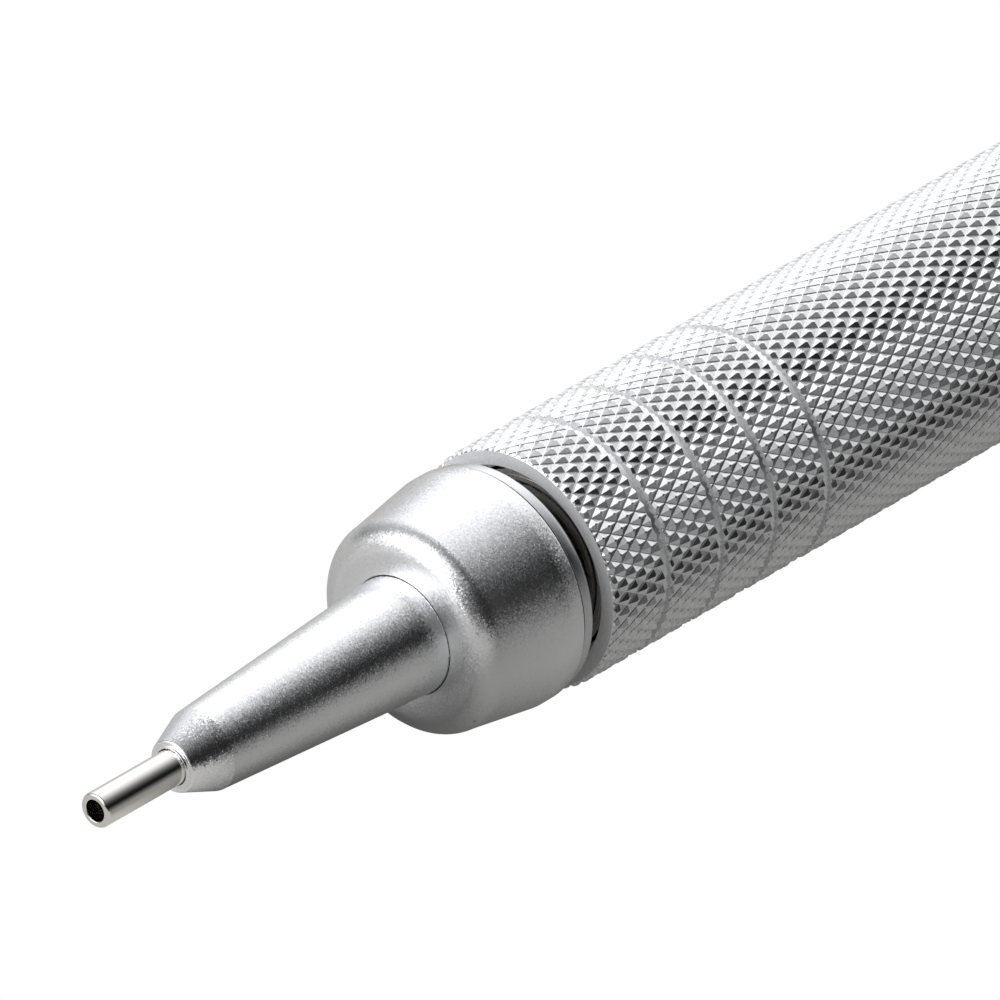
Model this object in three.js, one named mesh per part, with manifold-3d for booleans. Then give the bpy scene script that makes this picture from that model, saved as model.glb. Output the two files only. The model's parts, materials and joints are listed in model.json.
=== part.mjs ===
// An all-metal drafting pencil, lying on a flat surface with its tip towards -X and its pocket clip down
// on the -Y side. Lengths are in millimetres. Every turned piece is drawn by its profile: distance behind
// the tip of the lead sleeve, and radius. The axis of the pencil becomes the X axis of the model.

import * as THREE from 'three';
import { mergeVertices } from 'three/addons/utils/BufferGeometryUtils.js';
import Module from 'manifold-3d';

// Whole pencil
const LENGTH = 148;
const GRIP_RADIUS = 4.5;
const OUTER_SIDES = 36;
const INNER_SIDES = 20;
const FIT = 0.05;

// Lead and lead sleeve
const LEAD_RADIUS = 0.35;
const LEAD_LENGTH = 60;
const LEAD_TIP = 1.5;
const SLEEVE_RADIUS = 0.645;
const SLEEVE_BORE = 0.41;
const SLEEVE_END = 9.9;

// Nose cone, which slides forward over the lead sleeve
const CONE_FRONT = 3.86;
const CONE_FRONT_RADIUS = 0.94;
const CONE_KNEE = 5.4;
const CONE_KNEE_RADIUS = 1.52;
const CONE_SHANK_RADIUS = 2.19;
const COLLAR_RADIUS = 2.95;
const COLLAR_FRONT = 21.3;
const COLLAR_END = 23.1;

// Adjuster ring, the shoulder that is turned to slide the cone
const RING_FRONT = 15.52;
const RING_FACE_RADIUS = 2.85;
const RING_ROUND_END = 16.5;
const RING_ROUND_RADIUS = 3.98;
const RING_END = 20;
const RING_RADIUS = 4.4;
const RING_WALL_END = 17.1;
const STEM_RADIUS = 3.4;
const STEM_BORE = 3.01;
const STEM_FLANGE = 25.2;
const STEM_END = 26.2;
const STEM_FLANGE_RADIUS = 3.75;

// Grip
const GRIP_FRONT = 21.45;
const GRIP_END = 62;
const GRIP_BORE = 3;
const GRIP_CHAMFER = 0.55;
const COUNTERBORE_RADIUS = 3.8;
const GROOVE_FIRST = 24.17;
const GROOVE_PITCH = 2.76;
const GROOVE_COUNT = 4;
const GROOVE_WIDTH = 0.38;
const GROOVE_DEPTH = 0.24;

// Core tube and lead holder inside the grip
const HOLDER_FRONT = 7.8;
const HOLDER_STEP = 12.6;
const HOLDER_END = 17;
const CORE_RADIUS = 1.5;
const CHUCK_BORE = 1.22;
const CORE_FLANGE_RADIUS = 3.8;
const CORE_FLANGE_END = 28.4;
const CORE_BODY_RADIUS = 2.95;
const CORE_END = 74;
const SPRING_CHAMBER = 26.6;
const SPRING_CHAMBER_RADIUS = 2.35;

// Push mechanism
const CHUCK_FRONT = 15.2;
const CHUCK_END = 24;
const CHUCK_HEAD_RADIUS = 1.12;
const CHUCK_STEM_RADIUS = 0.85;
const SLIT_WIDTH = 0.16;
const SLIT_END = 21;
const CONNECTOR_FLANGE = 44;
const CONNECTOR_END = 46;
const LEAD_TUBE_RADIUS = 1.9;
const LEAD_TUBE_BORE = 1.6;
const LEAD_TUBE_END = 136;
const CAP_SEAT_FRONT = 128.5;
const CAP_SEAT_RADIUS = 2.5;

// Return spring round the connector
const SPRING_RADIUS = 1.78;
const SPRING_WIRE = 0.36;
const SPRING_TURNS = 10;
const SPRING_STEPS = 12;
const SPRING_SECTION = 5;

// Barrel, tail and clip
const BARREL_FRONT = 64.1;
const BARREL_RADIUS = 4.2;
const BARREL_BORE = 3;
const BARREL_END = 131;
const BAND_FRONT = 121;
const BAND_END = 127;
const BAND_SEAT_RADIUS = 3.9;
const TAIL_END = 134;
const CLIP_WIDTH = 3.6;
const CLIP_TIP = 86.3;
const CLIP_OUTER_RADIUS = 6.5;
const CLIP_FLOOR_GAP = 0.02;

// Button cap and eraser
const CAP_SKIRT_FRONT = 129;
const CAP_SKIRT_RADIUS = 2.95;
const CAP_HEAD_FRONT = 137.2;
const CAP_RADIUS = 3.5;
const ERASER_RADIUS = 2.2;

const AXIS_HEIGHT = GRIP_RADIUS * Math.cos(Math.PI / OUTER_SIDES);

const manifold = await Module();
manifold.setup();

const pencil = new THREE.Group();

// Finishes: colour, roughness, metalness
const blastedAluminium = [0xc9ccd0, 0.5, 1];
const brightAluminium = [0xd7d9dc, 0.3, 1];
const satinAluminium = [0xbfc2c7, 0.35, 1];
const polishedSteel = [0xb8b4ae, 0.15, 1];
const brass = [0xc9a24e, 0.3, 1];
const springSteel = [0x9a9da1, 0.3, 1];
const blackRubber = [0x1c1c1d, 0.8, 0];
const paleRubber = [0x8d8f8c, 0.8, 0];
const plastic = [0x2a2b2d, 0.5, 0];
const whiteEraser = [0xefeeea, 0.9, 0];
const graphite = [0x2c2d30, 0.45, 0.2];

function addPiece(name, geometry, [color, roughness, metalness]) {
  const material = new THREE.MeshStandardMaterial({ color, roughness, metalness });
  const piece = new THREE.Mesh(geometry, material);
  piece.name = name;
  pencil.add(piece);
  return piece;
}

// A profile turned about the pencil's axis. Both outlines run from front to rear; a piece with no inner
// outline is solid, and its outer outline starts and ends on the axis.
function turnedGeometry(outer, inner, sides) {
  const loop = [...outer, ...inner.slice().reverse()];
  if (inner.length > 0) {
    loop.push(outer[0]);
  }
  const profile = loop.map(([place, radius]) => new THREE.Vector2(radius, place));
  const geometry = new THREE.LatheGeometry(profile, sides, Math.PI / sides);
  return geometry.rotateZ(-Math.PI / 2);
}

function addTurned(name, finish, outer, inner = [], sides = INNER_SIDES) {
  return addPiece(name, turnedGeometry(outer, inner, sides), finish);
}

// A plain tube, or a plain rod when it has no bore.
function addTube(name, finish, front, end, radius, bore, sides = INNER_SIDES) {
  if (bore > 0) {
    return addTurned(name, finish, [[front, radius], [end, radius]], [[front, bore], [end, bore]], sides);
  }
  return addTurned(name, finish, [[front, 0], [front, radius], [end, radius], [end, 0]], [], sides);
}

// Points of a quarter-round edge that leaves a flat face and arrives along the side.
function roundedEdge([front, faceRadius], [end, sideRadius], count) {
  return Array.from({ length: count + 1 }, (_, i) => {
    const angle = (i / count) * (Math.PI / 2);
    const place = front + (end - front) * (1 - Math.cos(angle));
    return [place, faceRadius + (sideRadius - faceRadius) * Math.sin(angle)];
  });
}

function toSolid(geometry) {
  const bare = geometry.clone();
  bare.deleteAttribute('normal');
  bare.deleteAttribute('uv');
  const merged = mergeVertices(bare, 1e-4);
  return new manifold.Manifold(new manifold.Mesh({
    numProp: 3,
    vertProperties: new Float32Array(merged.attributes.position.array),
    triVerts: new Uint32Array(merged.index.array),
  }));
}

function toGeometry(solid) {
  const mesh = solid.getMesh();
  const geometry = new THREE.BufferGeometry();
  geometry.setAttribute('position', new THREE.BufferAttribute(mesh.vertProperties, 3));
  geometry.setIndex(new THREE.BufferAttribute(mesh.triVerts, 1));
  return geometry;
}

function addLeadSleeve() {
  const rim = 0.1;
  const flange = 9.3;
  addTurned('lead_sleeve', polishedSteel,
    [[0, SLEEVE_RADIUS - rim], [rim, SLEEVE_RADIUS], [flange, SLEEVE_RADIUS], [flange, SLEEVE_RADIUS + 0.12],
      [SLEEVE_END, SLEEVE_RADIUS + 0.12]],
    [[0, SLEEVE_BORE + 0.06], [rim, SLEEVE_BORE], [SLEEVE_END, SLEEVE_BORE]]);
}

function addNoseCone() {
  const guideBore = SLEEVE_RADIUS + FIT;
  const holderBore = 1.25;
  const coreBore = CORE_RADIUS + FIT;
  addTurned('nose_cone', blastedAluminium,
    [[CONE_FRONT, CONE_FRONT_RADIUS - 0.06], [CONE_FRONT + 0.08, CONE_FRONT_RADIUS],
      [CONE_KNEE, CONE_KNEE_RADIUS], [RING_FRONT, CONE_SHANK_RADIUS], [COLLAR_FRONT, CONE_SHANK_RADIUS],
      [COLLAR_FRONT, COLLAR_RADIUS], [COLLAR_END, COLLAR_RADIUS]],
    [[CONE_FRONT, guideBore + 0.12], [CONE_FRONT + 0.3, guideBore], [6.5, guideBore],
      [6.9, holderBore], [HOLDER_STEP - 0.4, holderBore], [HOLDER_STEP - 0.1, coreBore],
      [COLLAR_END, coreBore]],
    OUTER_SIDES);
}

// The shoulder is screwed onto a drive sleeve whose coarse inner thread carries the cone's collar.
function addAdjuster() {
  const shankHole = CONE_SHANK_RADIUS + 0.06;
  const threadRadius = STEM_RADIUS + FIT;
  addTurned('adjuster_ring', blastedAluminium,
    [...roundedEdge([RING_FRONT, RING_FACE_RADIUS], [RING_ROUND_END, RING_ROUND_RADIUS], 4),
      [RING_END - 0.65, RING_RADIUS], [RING_END, RING_RADIUS - 0.02]],
    [[RING_FRONT, shankHole], [RING_WALL_END, shankHole], [RING_WALL_END, threadRadius],
      [RING_END, threadRadius]],
    OUTER_SIDES);
  addTurned('drive_sleeve', polishedSteel,
    [[RING_WALL_END + FIT, STEM_RADIUS], [STEM_FLANGE, STEM_RADIUS], [STEM_FLANGE, STEM_FLANGE_RADIUS],
      [STEM_END, STEM_FLANGE_RADIUS]],
    [[RING_WALL_END + FIT, STEM_BORE], [STEM_END, STEM_BORE]],
    OUTER_SIDES);
  addTurned('bearing_ring', satinAluminium,
    [[RING_END + FIT, RING_RADIUS - 0.06], [RING_END + 0.55, RING_RADIUS - 0.14],
      [RING_END + 0.9, RING_RADIUS - 0.36]],
    [[RING_END + FIT, threadRadius], [RING_END + 0.9, threadRadius]],
    OUTER_SIDES);
}

function addFrictionRing() {
  const middle = 24;
  const wire = 0.17;
  const centre = STEM_RADIUS + 0.2;
  const section = Array.from({ length: 7 }, (_, i) => {
    const angle = (i / 6) * Math.PI * 2;
    return [middle - wire * Math.cos(angle), centre + wire * Math.sin(angle)];
  });
  addTurned('friction_o_ring', blackRubber, section, [], OUTER_SIDES);
}

function addGrip() {
  const seatRadius = STEM_RADIUS + 0.06;
  const ringSeat = STEM_RADIUS + 0.42;
  const threadRadius = CORE_FLANGE_RADIUS + FIT;
  const outer = [[GRIP_FRONT, GRIP_RADIUS - 0.12], [GRIP_FRONT + GRIP_CHAMFER, GRIP_RADIUS]];
  for (let i = 0; i < GROOVE_COUNT; i += 1) {
    const front = GROOVE_FIRST + i * GROOVE_PITCH - GROOVE_WIDTH / 2;
    const floor = GRIP_RADIUS - GROOVE_DEPTH;
    outer.push([front, GRIP_RADIUS], [front + 0.05, floor]);
    outer.push([front + GROOVE_WIDTH - 0.05, floor], [front + GROOVE_WIDTH, GRIP_RADIUS]);
  }
  outer.push([GRIP_END - 0.4, GRIP_RADIUS], [GRIP_END, GRIP_RADIUS - 0.3]);
  addTurned('knurled_grip', brightAluminium, outer,
    [[GRIP_FRONT, COUNTERBORE_RADIUS], [22.3, seatRadius], [23.6, seatRadius], [23.6, ringSeat],
      [24.4, ringSeat], [24.4, seatRadius], [STEM_FLANGE - FIT, seatRadius],
      [STEM_FLANGE - FIT, threadRadius], [30, threadRadius], [30, GRIP_BORE], [GRIP_END, GRIP_BORE]],
    OUTER_SIDES);
}

function addCore() {
  addTurned('sleeve_holder', brass,
    [[HOLDER_FRONT, 1], [HOLDER_FRONT + 0.2, 1.2], [HOLDER_STEP, 1.2], [HOLDER_STEP, CORE_RADIUS],
      [HOLDER_END, CORE_RADIUS]],
    [[HOLDER_FRONT, SLEEVE_RADIUS + 0.02], [9.2, SLEEVE_RADIUS + 0.02], [9.2, 0.92], [12.4, 0.92],
      [12.4, CHUCK_BORE], [HOLDER_END, CHUCK_BORE]]);
  addTurned('lead_retainer', paleRubber,
    [[10, 0.87], [12.2, 0.87]],
    [[10, LEAD_RADIUS + 0.15], [10.7, LEAD_RADIUS + 0.02], [12.2, LEAD_RADIUS + 0.02]]);
  addTurned('core_tube', brass,
    [[HOLDER_END + FIT, CORE_RADIUS], [STEM_END + FIT, CORE_RADIUS], [STEM_END + FIT, CORE_FLANGE_RADIUS],
      [CORE_FLANGE_END, CORE_FLANGE_RADIUS], [CORE_FLANGE_END, CORE_BODY_RADIUS],
      [CORE_END, CORE_BODY_RADIUS]],
    [[HOLDER_END + FIT, CHUCK_BORE], [SPRING_CHAMBER, CHUCK_BORE], [SPRING_CHAMBER, SPRING_CHAMBER_RADIUS],
      [CORE_END, SPRING_CHAMBER_RADIUS]],
    OUTER_SIDES);
}

// Three jaws on one stem: a coned head that the clutch ring squeezes, split by three slits.
function addChuck() {
  const whole = toSolid(turnedGeometry(
    [[CHUCK_FRONT, 0.9], [CHUCK_FRONT + 0.2, CHUCK_HEAD_RADIUS], [CHUCK_FRONT + 0.6, CHUCK_HEAD_RADIUS],
      [CHUCK_FRONT + 1.2, CHUCK_STEM_RADIUS], [CHUCK_END, CHUCK_STEM_RADIUS]],
    [[CHUCK_FRONT, LEAD_RADIUS + 0.03], [CHUCK_END, LEAD_RADIUS + 0.03]],
    INNER_SIDES));
  const slitFront = CHUCK_FRONT - 0.5;
  const slitHeight = CHUCK_HEAD_RADIUS + 0.5;
  let jaws = whole;
  for (let i = 0; i < 3; i += 1) {
    const slit = new THREE.BoxGeometry(SLIT_END - slitFront, slitHeight, SLIT_WIDTH);
    slit.translate((SLIT_END + slitFront) / 2, slitHeight / 2, 0);
    slit.rotateX((i * Math.PI * 2) / 3 + 0.3);
    jaws = jaws.subtract(toSolid(slit));
  }
  addPiece('chuck', toGeometry(jaws), brass);
  addTurned('clutch_ring', brass,
    [[16.42, 1.17], [18.4, 1.17]],
    [[16.42, 0.98], [16.8, CHUCK_STEM_RADIUS + FIT], [18.4, CHUCK_STEM_RADIUS + FIT]]);
}

function addPushRod() {
  addTurned('chuck_connector', plastic,
    [[CHUCK_END + FIT, 1.16], [CONNECTOR_FLANGE, 1.16], [CONNECTOR_FLANGE, SPRING_CHAMBER_RADIUS - 0.1],
      [CONNECTOR_END, SPRING_CHAMBER_RADIUS - 0.1]],
    [[CHUCK_END + FIT, LEAD_RADIUS + 0.07], [38, LEAD_RADIUS + 0.07], [CONNECTOR_END, 1.1]]);
  addTurned('lead_tube', plastic,
    [[CONNECTOR_END + FIT, LEAD_TUBE_RADIUS], [CAP_SEAT_FRONT, LEAD_TUBE_RADIUS],
      [CAP_SEAT_FRONT, CAP_SEAT_RADIUS], [LEAD_TUBE_END, CAP_SEAT_RADIUS]],
    [[CONNECTOR_END + FIT, LEAD_TUBE_BORE], [LEAD_TUBE_END, LEAD_TUBE_BORE]]);
}

class SpringLine extends THREE.Curve {
  getPoint(fraction, target = new THREE.Vector3()) {
    const wire = SPRING_WIRE / 2 + FIT;
    const front = SPRING_CHAMBER + wire;
    const end = CONNECTOR_FLANGE - wire;
    const turn = fraction * SPRING_TURNS * Math.PI * 2;
    const place = front + (end - front) * fraction;
    return target.set(place, SPRING_RADIUS * Math.cos(turn), SPRING_RADIUS * Math.sin(turn));
  }
}

function addSpring() {
  const section = new THREE.Shape(Array.from({ length: SPRING_SECTION }, (_, i) => {
    const angle = (i / SPRING_SECTION) * Math.PI * 2;
    return new THREE.Vector2(Math.cos(angle), Math.sin(angle)).multiplyScalar(SPRING_WIRE / 2);
  }));
  const geometry = new THREE.ExtrudeGeometry(section, {
    steps: SPRING_TURNS * SPRING_STEPS,
    extrudePath: new SpringLine(),
    bevelEnabled: false,
  });
  addPiece('chuck_spring', geometry, springSteel);
}

function addBarrel() {
  addTurned('joint_ring', polishedSteel,
    [[GRIP_END + FIT, GRIP_RADIUS - 0.3], [GRIP_END + 0.3, GRIP_RADIUS - 0.15],
      [BARREL_FRONT - 0.3, GRIP_RADIUS - 0.15], [BARREL_FRONT - FIT, GRIP_RADIUS - 0.3]],
    [[GRIP_END + FIT, GRIP_BORE], [BARREL_FRONT - FIT, GRIP_BORE]],
    OUTER_SIDES);
  addTurned('barrel', satinAluminium,
    [[BARREL_FRONT, BARREL_RADIUS], [BAND_FRONT, BARREL_RADIUS], [BAND_FRONT, BAND_SEAT_RADIUS],
      [BAND_END, BAND_SEAT_RADIUS], [BAND_END, 3.55], [BARREL_END, 3.55]],
    [[BARREL_FRONT, BARREL_BORE], [BARREL_END, BARREL_BORE]],
    OUTER_SIDES);
  addTube('guide_bush', plastic, 117, 123, BARREL_BORE - FIT, LEAD_TUBE_RADIUS + FIT);
  addTurned('tail_ring', satinAluminium,
    [[BAND_END + FIT, BARREL_RADIUS], [TAIL_END - 0.6, BARREL_RADIUS - 0.1], [TAIL_END, BARREL_RADIUS - 0.5]],
    [[BAND_END + FIT, 3.6], [BARREL_END + FIT, 3.6], [BARREL_END + FIT, CAP_SKIRT_RADIUS + FIT],
      [TAIL_END, CAP_SKIRT_RADIUS + FIT]],
    OUTER_SIDES);
}

// The clip's arm is a bent strip that stands on the band and bears on the barrel near its tip. It is
// turned about the pencil's axis until the edge of its highest stretch comes down to the surface.
function addClip() {
  addTube('clip_band', polishedSteel, BAND_FRONT + FIT, BAND_END - FIT, GRIP_RADIUS,
    BAND_SEAT_RADIUS + FIT, OUTER_SIDES);
  const outline = new THREE.Shape([
    [BAND_END - 0.3, GRIP_RADIUS + FIT], [BAND_END - 0.3, 5.9], [BAND_END - 0.8, 6.4],
    [CLIP_TIP + 5, 6.3], [CLIP_TIP + 2.3, 5.3], [CLIP_TIP + 0.3, CLIP_OUTER_RADIUS], [CLIP_TIP, 6.2],
    [CLIP_TIP + 1.6, 4.55], [CLIP_TIP + 2.8, 4.55], [CLIP_TIP + 5.3, 5.65],
    [BAND_FRONT + 0.5, 5.75], [BAND_FRONT + 0.5, GRIP_RADIUS + FIT],
  ].map(([place, radius]) => new THREE.Vector2(place, radius)));
  const geometry = new THREE.ExtrudeGeometry(outline, { depth: CLIP_WIDTH, bevelEnabled: false });
  geometry.translate(0, 0, -CLIP_WIDTH / 2);
  const corner = Math.hypot(CLIP_OUTER_RADIUS, CLIP_WIDTH / 2);
  const fromDown = Math.acos((AXIS_HEIGHT - CLIP_FLOOR_GAP) / corner)
    + Math.atan2(CLIP_WIDTH / 2, CLIP_OUTER_RADIUS);
  addPiece('clip_arm', geometry, polishedSteel).rotation.x = (3 * Math.PI) / 2 - fromDown;
}

function addCapAndEraser() {
  const capBore = CAP_SEAT_RADIUS + FIT;
  addTurned('button_cap', brightAluminium,
    [[CAP_SKIRT_FRONT, CAP_SKIRT_RADIUS], [CAP_HEAD_FRONT, CAP_SKIRT_RADIUS], [CAP_HEAD_FRONT, CAP_RADIUS],
      [LENGTH - 0.5, CAP_RADIUS], [LENGTH, CAP_RADIUS - 0.5], [LENGTH, 0]],
    [[CAP_SKIRT_FRONT, capBore], [LENGTH - 1.5, capBore], [LENGTH - 1.5, 0]],
    OUTER_SIDES);
  addTurned('eraser_holder', polishedSteel,
    [[132.6, 0.3], [132.6, LEAD_TUBE_BORE - FIT], [LEAD_TUBE_END + FIT, LEAD_TUBE_BORE - FIT],
      [LEAD_TUBE_END + FIT, CAP_SEAT_RADIUS], [140.4, CAP_SEAT_RADIUS]],
    [[132.6, 0.2], [134.6, 0.2], [134.6, 0.9], [136.8, 0.9], [136.8, ERASER_RADIUS + FIT],
      [140.4, ERASER_RADIUS + FIT]]);
  addTurned('eraser', whiteEraser,
    [[136.9, 0], [136.9, ERASER_RADIUS], [144, ERASER_RADIUS], [144.6, ERASER_RADIUS - 0.6], [144.6, 0]]);
  addTube('cleaning_pin', polishedSteel, 121.5, 134.4, 0.15, 0, 8);
}

// Spare leads lie side by side along the bottom of the lead tube.
function addLeads() {
  addTube('lead', graphite, LEAD_TIP, LEAD_TIP + LEAD_LENGTH, LEAD_RADIUS, 0, 12);
  const ring = LEAD_TUBE_BORE - LEAD_RADIUS - FIT;
  const step = 2 * Math.asin((LEAD_RADIUS + FIT / 2) / ring);
  for (let i = 0; i < 3; i += 1) {
    const angle = (i - 1) * step;
    const front = LEAD_TIP + LEAD_LENGTH + 0.7;
    const spare = addTube(`spare_lead_${i + 1}`, graphite, front, front + LEAD_LENGTH, LEAD_RADIUS, 0, 8);
    spare.position.set(0, ring * Math.sin(angle), -ring * Math.cos(angle));
  }
}

addLeadSleeve();
addNoseCone();
addAdjuster();
addFrictionRing();
addGrip();
addCore();
addChuck();
addPushRod();
addSpring();
addBarrel();
addClip();
addCapAndEraser();
addLeads();

// The origin is the middle of the pencil's footprint, on the surface that it lies on.
const footprint = new THREE.Box3().setFromObject(pencil, true);
const middle = footprint.getCenter(new THREE.Vector3());
pencil.position.set(-middle.x, -middle.y, -footprint.min.z);

export default pencil;
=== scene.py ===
"""Looks of an all-metal drafting pencil, built round its CAD frame.

The pencil lies along X with its tip towards -X. Sizes in the classes are in millimetres: a place is a
distance behind the tip of the lead sleeve, and a radius is a distance from the pencil's axis. Angles about
the axis start at straight up and grow towards -Y.
"""

import json
import logging
import math
from dataclasses import dataclass
from enum import Enum

import bmesh
import bpy
import numpy as np
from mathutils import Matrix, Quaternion, Vector


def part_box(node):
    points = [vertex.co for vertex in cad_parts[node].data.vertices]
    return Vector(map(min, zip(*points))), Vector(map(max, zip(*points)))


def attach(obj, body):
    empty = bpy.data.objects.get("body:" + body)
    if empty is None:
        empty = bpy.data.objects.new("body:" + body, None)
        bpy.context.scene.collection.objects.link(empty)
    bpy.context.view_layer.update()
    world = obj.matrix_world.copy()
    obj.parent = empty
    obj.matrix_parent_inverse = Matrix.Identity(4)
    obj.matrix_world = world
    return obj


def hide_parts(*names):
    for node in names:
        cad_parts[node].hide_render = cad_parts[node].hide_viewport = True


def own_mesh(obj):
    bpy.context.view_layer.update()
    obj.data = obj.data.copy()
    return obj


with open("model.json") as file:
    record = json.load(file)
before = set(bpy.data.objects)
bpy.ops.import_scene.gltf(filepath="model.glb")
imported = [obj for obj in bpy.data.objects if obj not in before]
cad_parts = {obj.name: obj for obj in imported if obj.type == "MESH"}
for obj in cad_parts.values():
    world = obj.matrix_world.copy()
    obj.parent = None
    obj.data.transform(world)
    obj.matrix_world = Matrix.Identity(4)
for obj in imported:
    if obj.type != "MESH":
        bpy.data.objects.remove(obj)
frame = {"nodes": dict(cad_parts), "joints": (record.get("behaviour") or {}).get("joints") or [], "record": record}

MM = 0.001
CLEAR = 0.05
LOG = logging.getLogger("pencil")

Corner = tuple[float, ...]


# ---- The frame ---------------------------------------------------


@dataclass(frozen=True)
class Seat:
    """The room that a part of the frame takes: its front and rear places, its radius and its bore."""

    front: float
    rear: float
    radius: float
    bore: float


@dataclass(frozen=True)
class Spindle:
    """The pencil's axis in the frame, from which every turned piece is measured."""

    tip: float
    y: float
    z: float

    @classmethod
    def from_frame(cls) -> "Spindle":
        """Finds the axis from the grip, which is round about it, and the tip from the lead sleeve."""
        low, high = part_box("knurled_grip")
        middle = (low + high) / 2
        return cls(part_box("lead_sleeve")[0].x, middle.y, middle.z)

    def point(self, place: float, radius: float = 0.0, angle: float = 0.0) -> Vector:
        """Gives a point of the frame in metres.

        Args:
            place: Distance behind the tip, in millimetres.
            radius: Distance from the axis, in millimetres.
            angle: Angle about the axis from straight up towards -Y, in radians.

        Returns:
            The point in the row frame.
        """
        across = Vector((0.0, -math.sin(angle), math.cos(angle))) * radius * MM
        return Vector((self.tip + place * MM, self.y, self.z)) + across

    def seat(self, node: str) -> Seat:
        """Measures a node of the frame about the axis."""
        low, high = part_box(node)
        points = np.array([v.co for v in frame["nodes"][node].data.vertices])
        radii = np.hypot(points[:, 1] - self.y, points[:, 2] - self.z) / MM
        return Seat((low.x - self.tip) / MM, (high.x - self.tip) / MM, radii.max(), radii.min())


SPINDLE = Spindle.from_frame()
BODY_OF = {n: body for body, nodes in frame["record"]["behaviour"]["bodies"].items() for n in nodes}
SLOT_OF = {row["node"]: row["material_slot"] for row in frame["record"]["subparts"]}


# ---- Writing node trees ------------------------------------------


class TreeWriter:
    """Writes the nodes of one tree: it adds a node, sets its values and links its inputs."""

    def __init__(self, tree: bpy.types.NodeTree) -> None:
        """Starts on an empty tree."""
        self.tree = tree
        self.tree.nodes.clear()

    def add(self, kind: str, inputs: dict | None = None, **settings) -> bpy.types.Node:
        """Adds a node.

        Args:
            kind: The node's type.
            inputs: What each input gets, by name or number: a socket is linked and anything else is a value.
            **settings: Attributes of the node itself.

        Returns:
            The new node.
        """
        node = self.tree.nodes.new(kind)
        for name, value in settings.items():
            setattr(node, name, value)
        self.fill(node, inputs or {})
        return node

    def fill(self, node: bpy.types.Node, inputs: dict) -> None:
        """Gives a node's inputs, by name or number, a socket to be linked or a plain value."""
        for key, value in inputs.items():
            if isinstance(value, bpy.types.NodeSocket):
                self.tree.links.new(value, node.inputs[key])
            else:
                node.inputs[key].default_value = value

    def vector(self, operation: str, *values) -> bpy.types.NodeSocket:
        """Adds a Vector Math node on one or two vectors and returns the vector that it gives."""
        return self.add("ShaderNodeVectorMath", dict(enumerate(values)), operation=operation).outputs[0]

    def math(self, operation: str, *values, clamp: bool = False) -> bpy.types.NodeSocket:
        """Adds a Math node on up to three values or sockets and returns its result."""
        node = self.add("ShaderNodeMath", dict(enumerate(values)), operation=operation, use_clamp=clamp)
        return node.outputs[0]

    def range(self, value, source: tuple[float, float], target: tuple) -> bpy.types.NodeSocket:
        """Maps a value from one range to another, held at both ends."""
        limits = dict(enumerate((value, *source, *target)))
        return self.add("ShaderNodeMapRange", limits).outputs[0]

    def mix(self, share, first, second, blend: str = "MIX") -> bpy.types.NodeSocket:
        """Mixes two colours and returns the result."""
        inputs = {0: share, 6: first, 7: second}
        return self.add("ShaderNodeMix", inputs, data_type="RGBA", blend_type=blend).outputs[2]

    def ramp(self, value, stops: list[tuple[float, tuple]]) -> bpy.types.NodeSocket:
        """Adds a colour ramp with the given stops and returns its colour."""
        node = self.add("ShaderNodeValToRGB", {0: value})
        elements = node.color_ramp.elements
        while len(elements) < len(stops):
            elements.new(0.5)
        for element, (position, colour) in zip(elements, stops):
            element.position = position
            element.color = (*colour, 1.0)
        return node.outputs[0]

    def show(self, mirrored: bpy.types.Node, seen: bpy.types.Node, output: str) -> None:
        """Ends the tree so that the camera sees one shader, and what the metal mirrors is another.

        Args:
            mirrored: Shader for every ray but the camera's.
            seen: Shader for the camera's own rays.
            output: Type of the tree's output node.
        """
        rays = self.add("ShaderNodeLightPath")
        both = self.add("ShaderNodeMixShader", {
            0: rays.outputs["Is Camera Ray"], 1: mirrored.outputs[0], 2: seen.outputs[0]})
        self.add(output, {"Surface": both.outputs[0]})


def group_tree(name: str, kind: str, inputs: dict, outputs: dict) -> tuple[TreeWriter, dict, bpy.types.Node]:
    """Starts a node group with named sockets.

    Args:
        name: The group's name.
        kind: The tree's type.
        inputs: Socket type and default value of each input, by name.
        outputs: Socket type of each output, by name.

    Returns:
        The tree's writer, the input sockets by name, and the group's output node.
    """
    tree = bpy.data.node_groups.new(name, kind)
    writer = TreeWriter(tree)
    for label, (socket_type, value) in inputs.items():
        socket = tree.interface.new_socket(label, in_out="INPUT", socket_type=socket_type)
        if value is not None:
            socket.default_value = value
    for label, socket_type in outputs.items():
        tree.interface.new_socket(label, in_out="OUTPUT", socket_type=socket_type)
    source = writer.add("NodeGroupInput")
    return writer, {label: source.outputs[label] for label in inputs}, writer.add("NodeGroupOutput")


# ---- Finishes ----------------------------------------------------

FLOAT = "NodeSocketFloat"
VECTOR = "NodeSocketVector"
GEOMETRY = "NodeSocketGeometry"
MATERIAL = "NodeSocketMaterial"
NOISE_SPAN = (0.3, 0.7)
SQUARE_FROM = (0.93, 0.985)
SCRATCH_ROUGHNESS = 0.05
PIT_SHADE_COLOUR = (0.02, 0.02, 0.02, 1.0)


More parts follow.
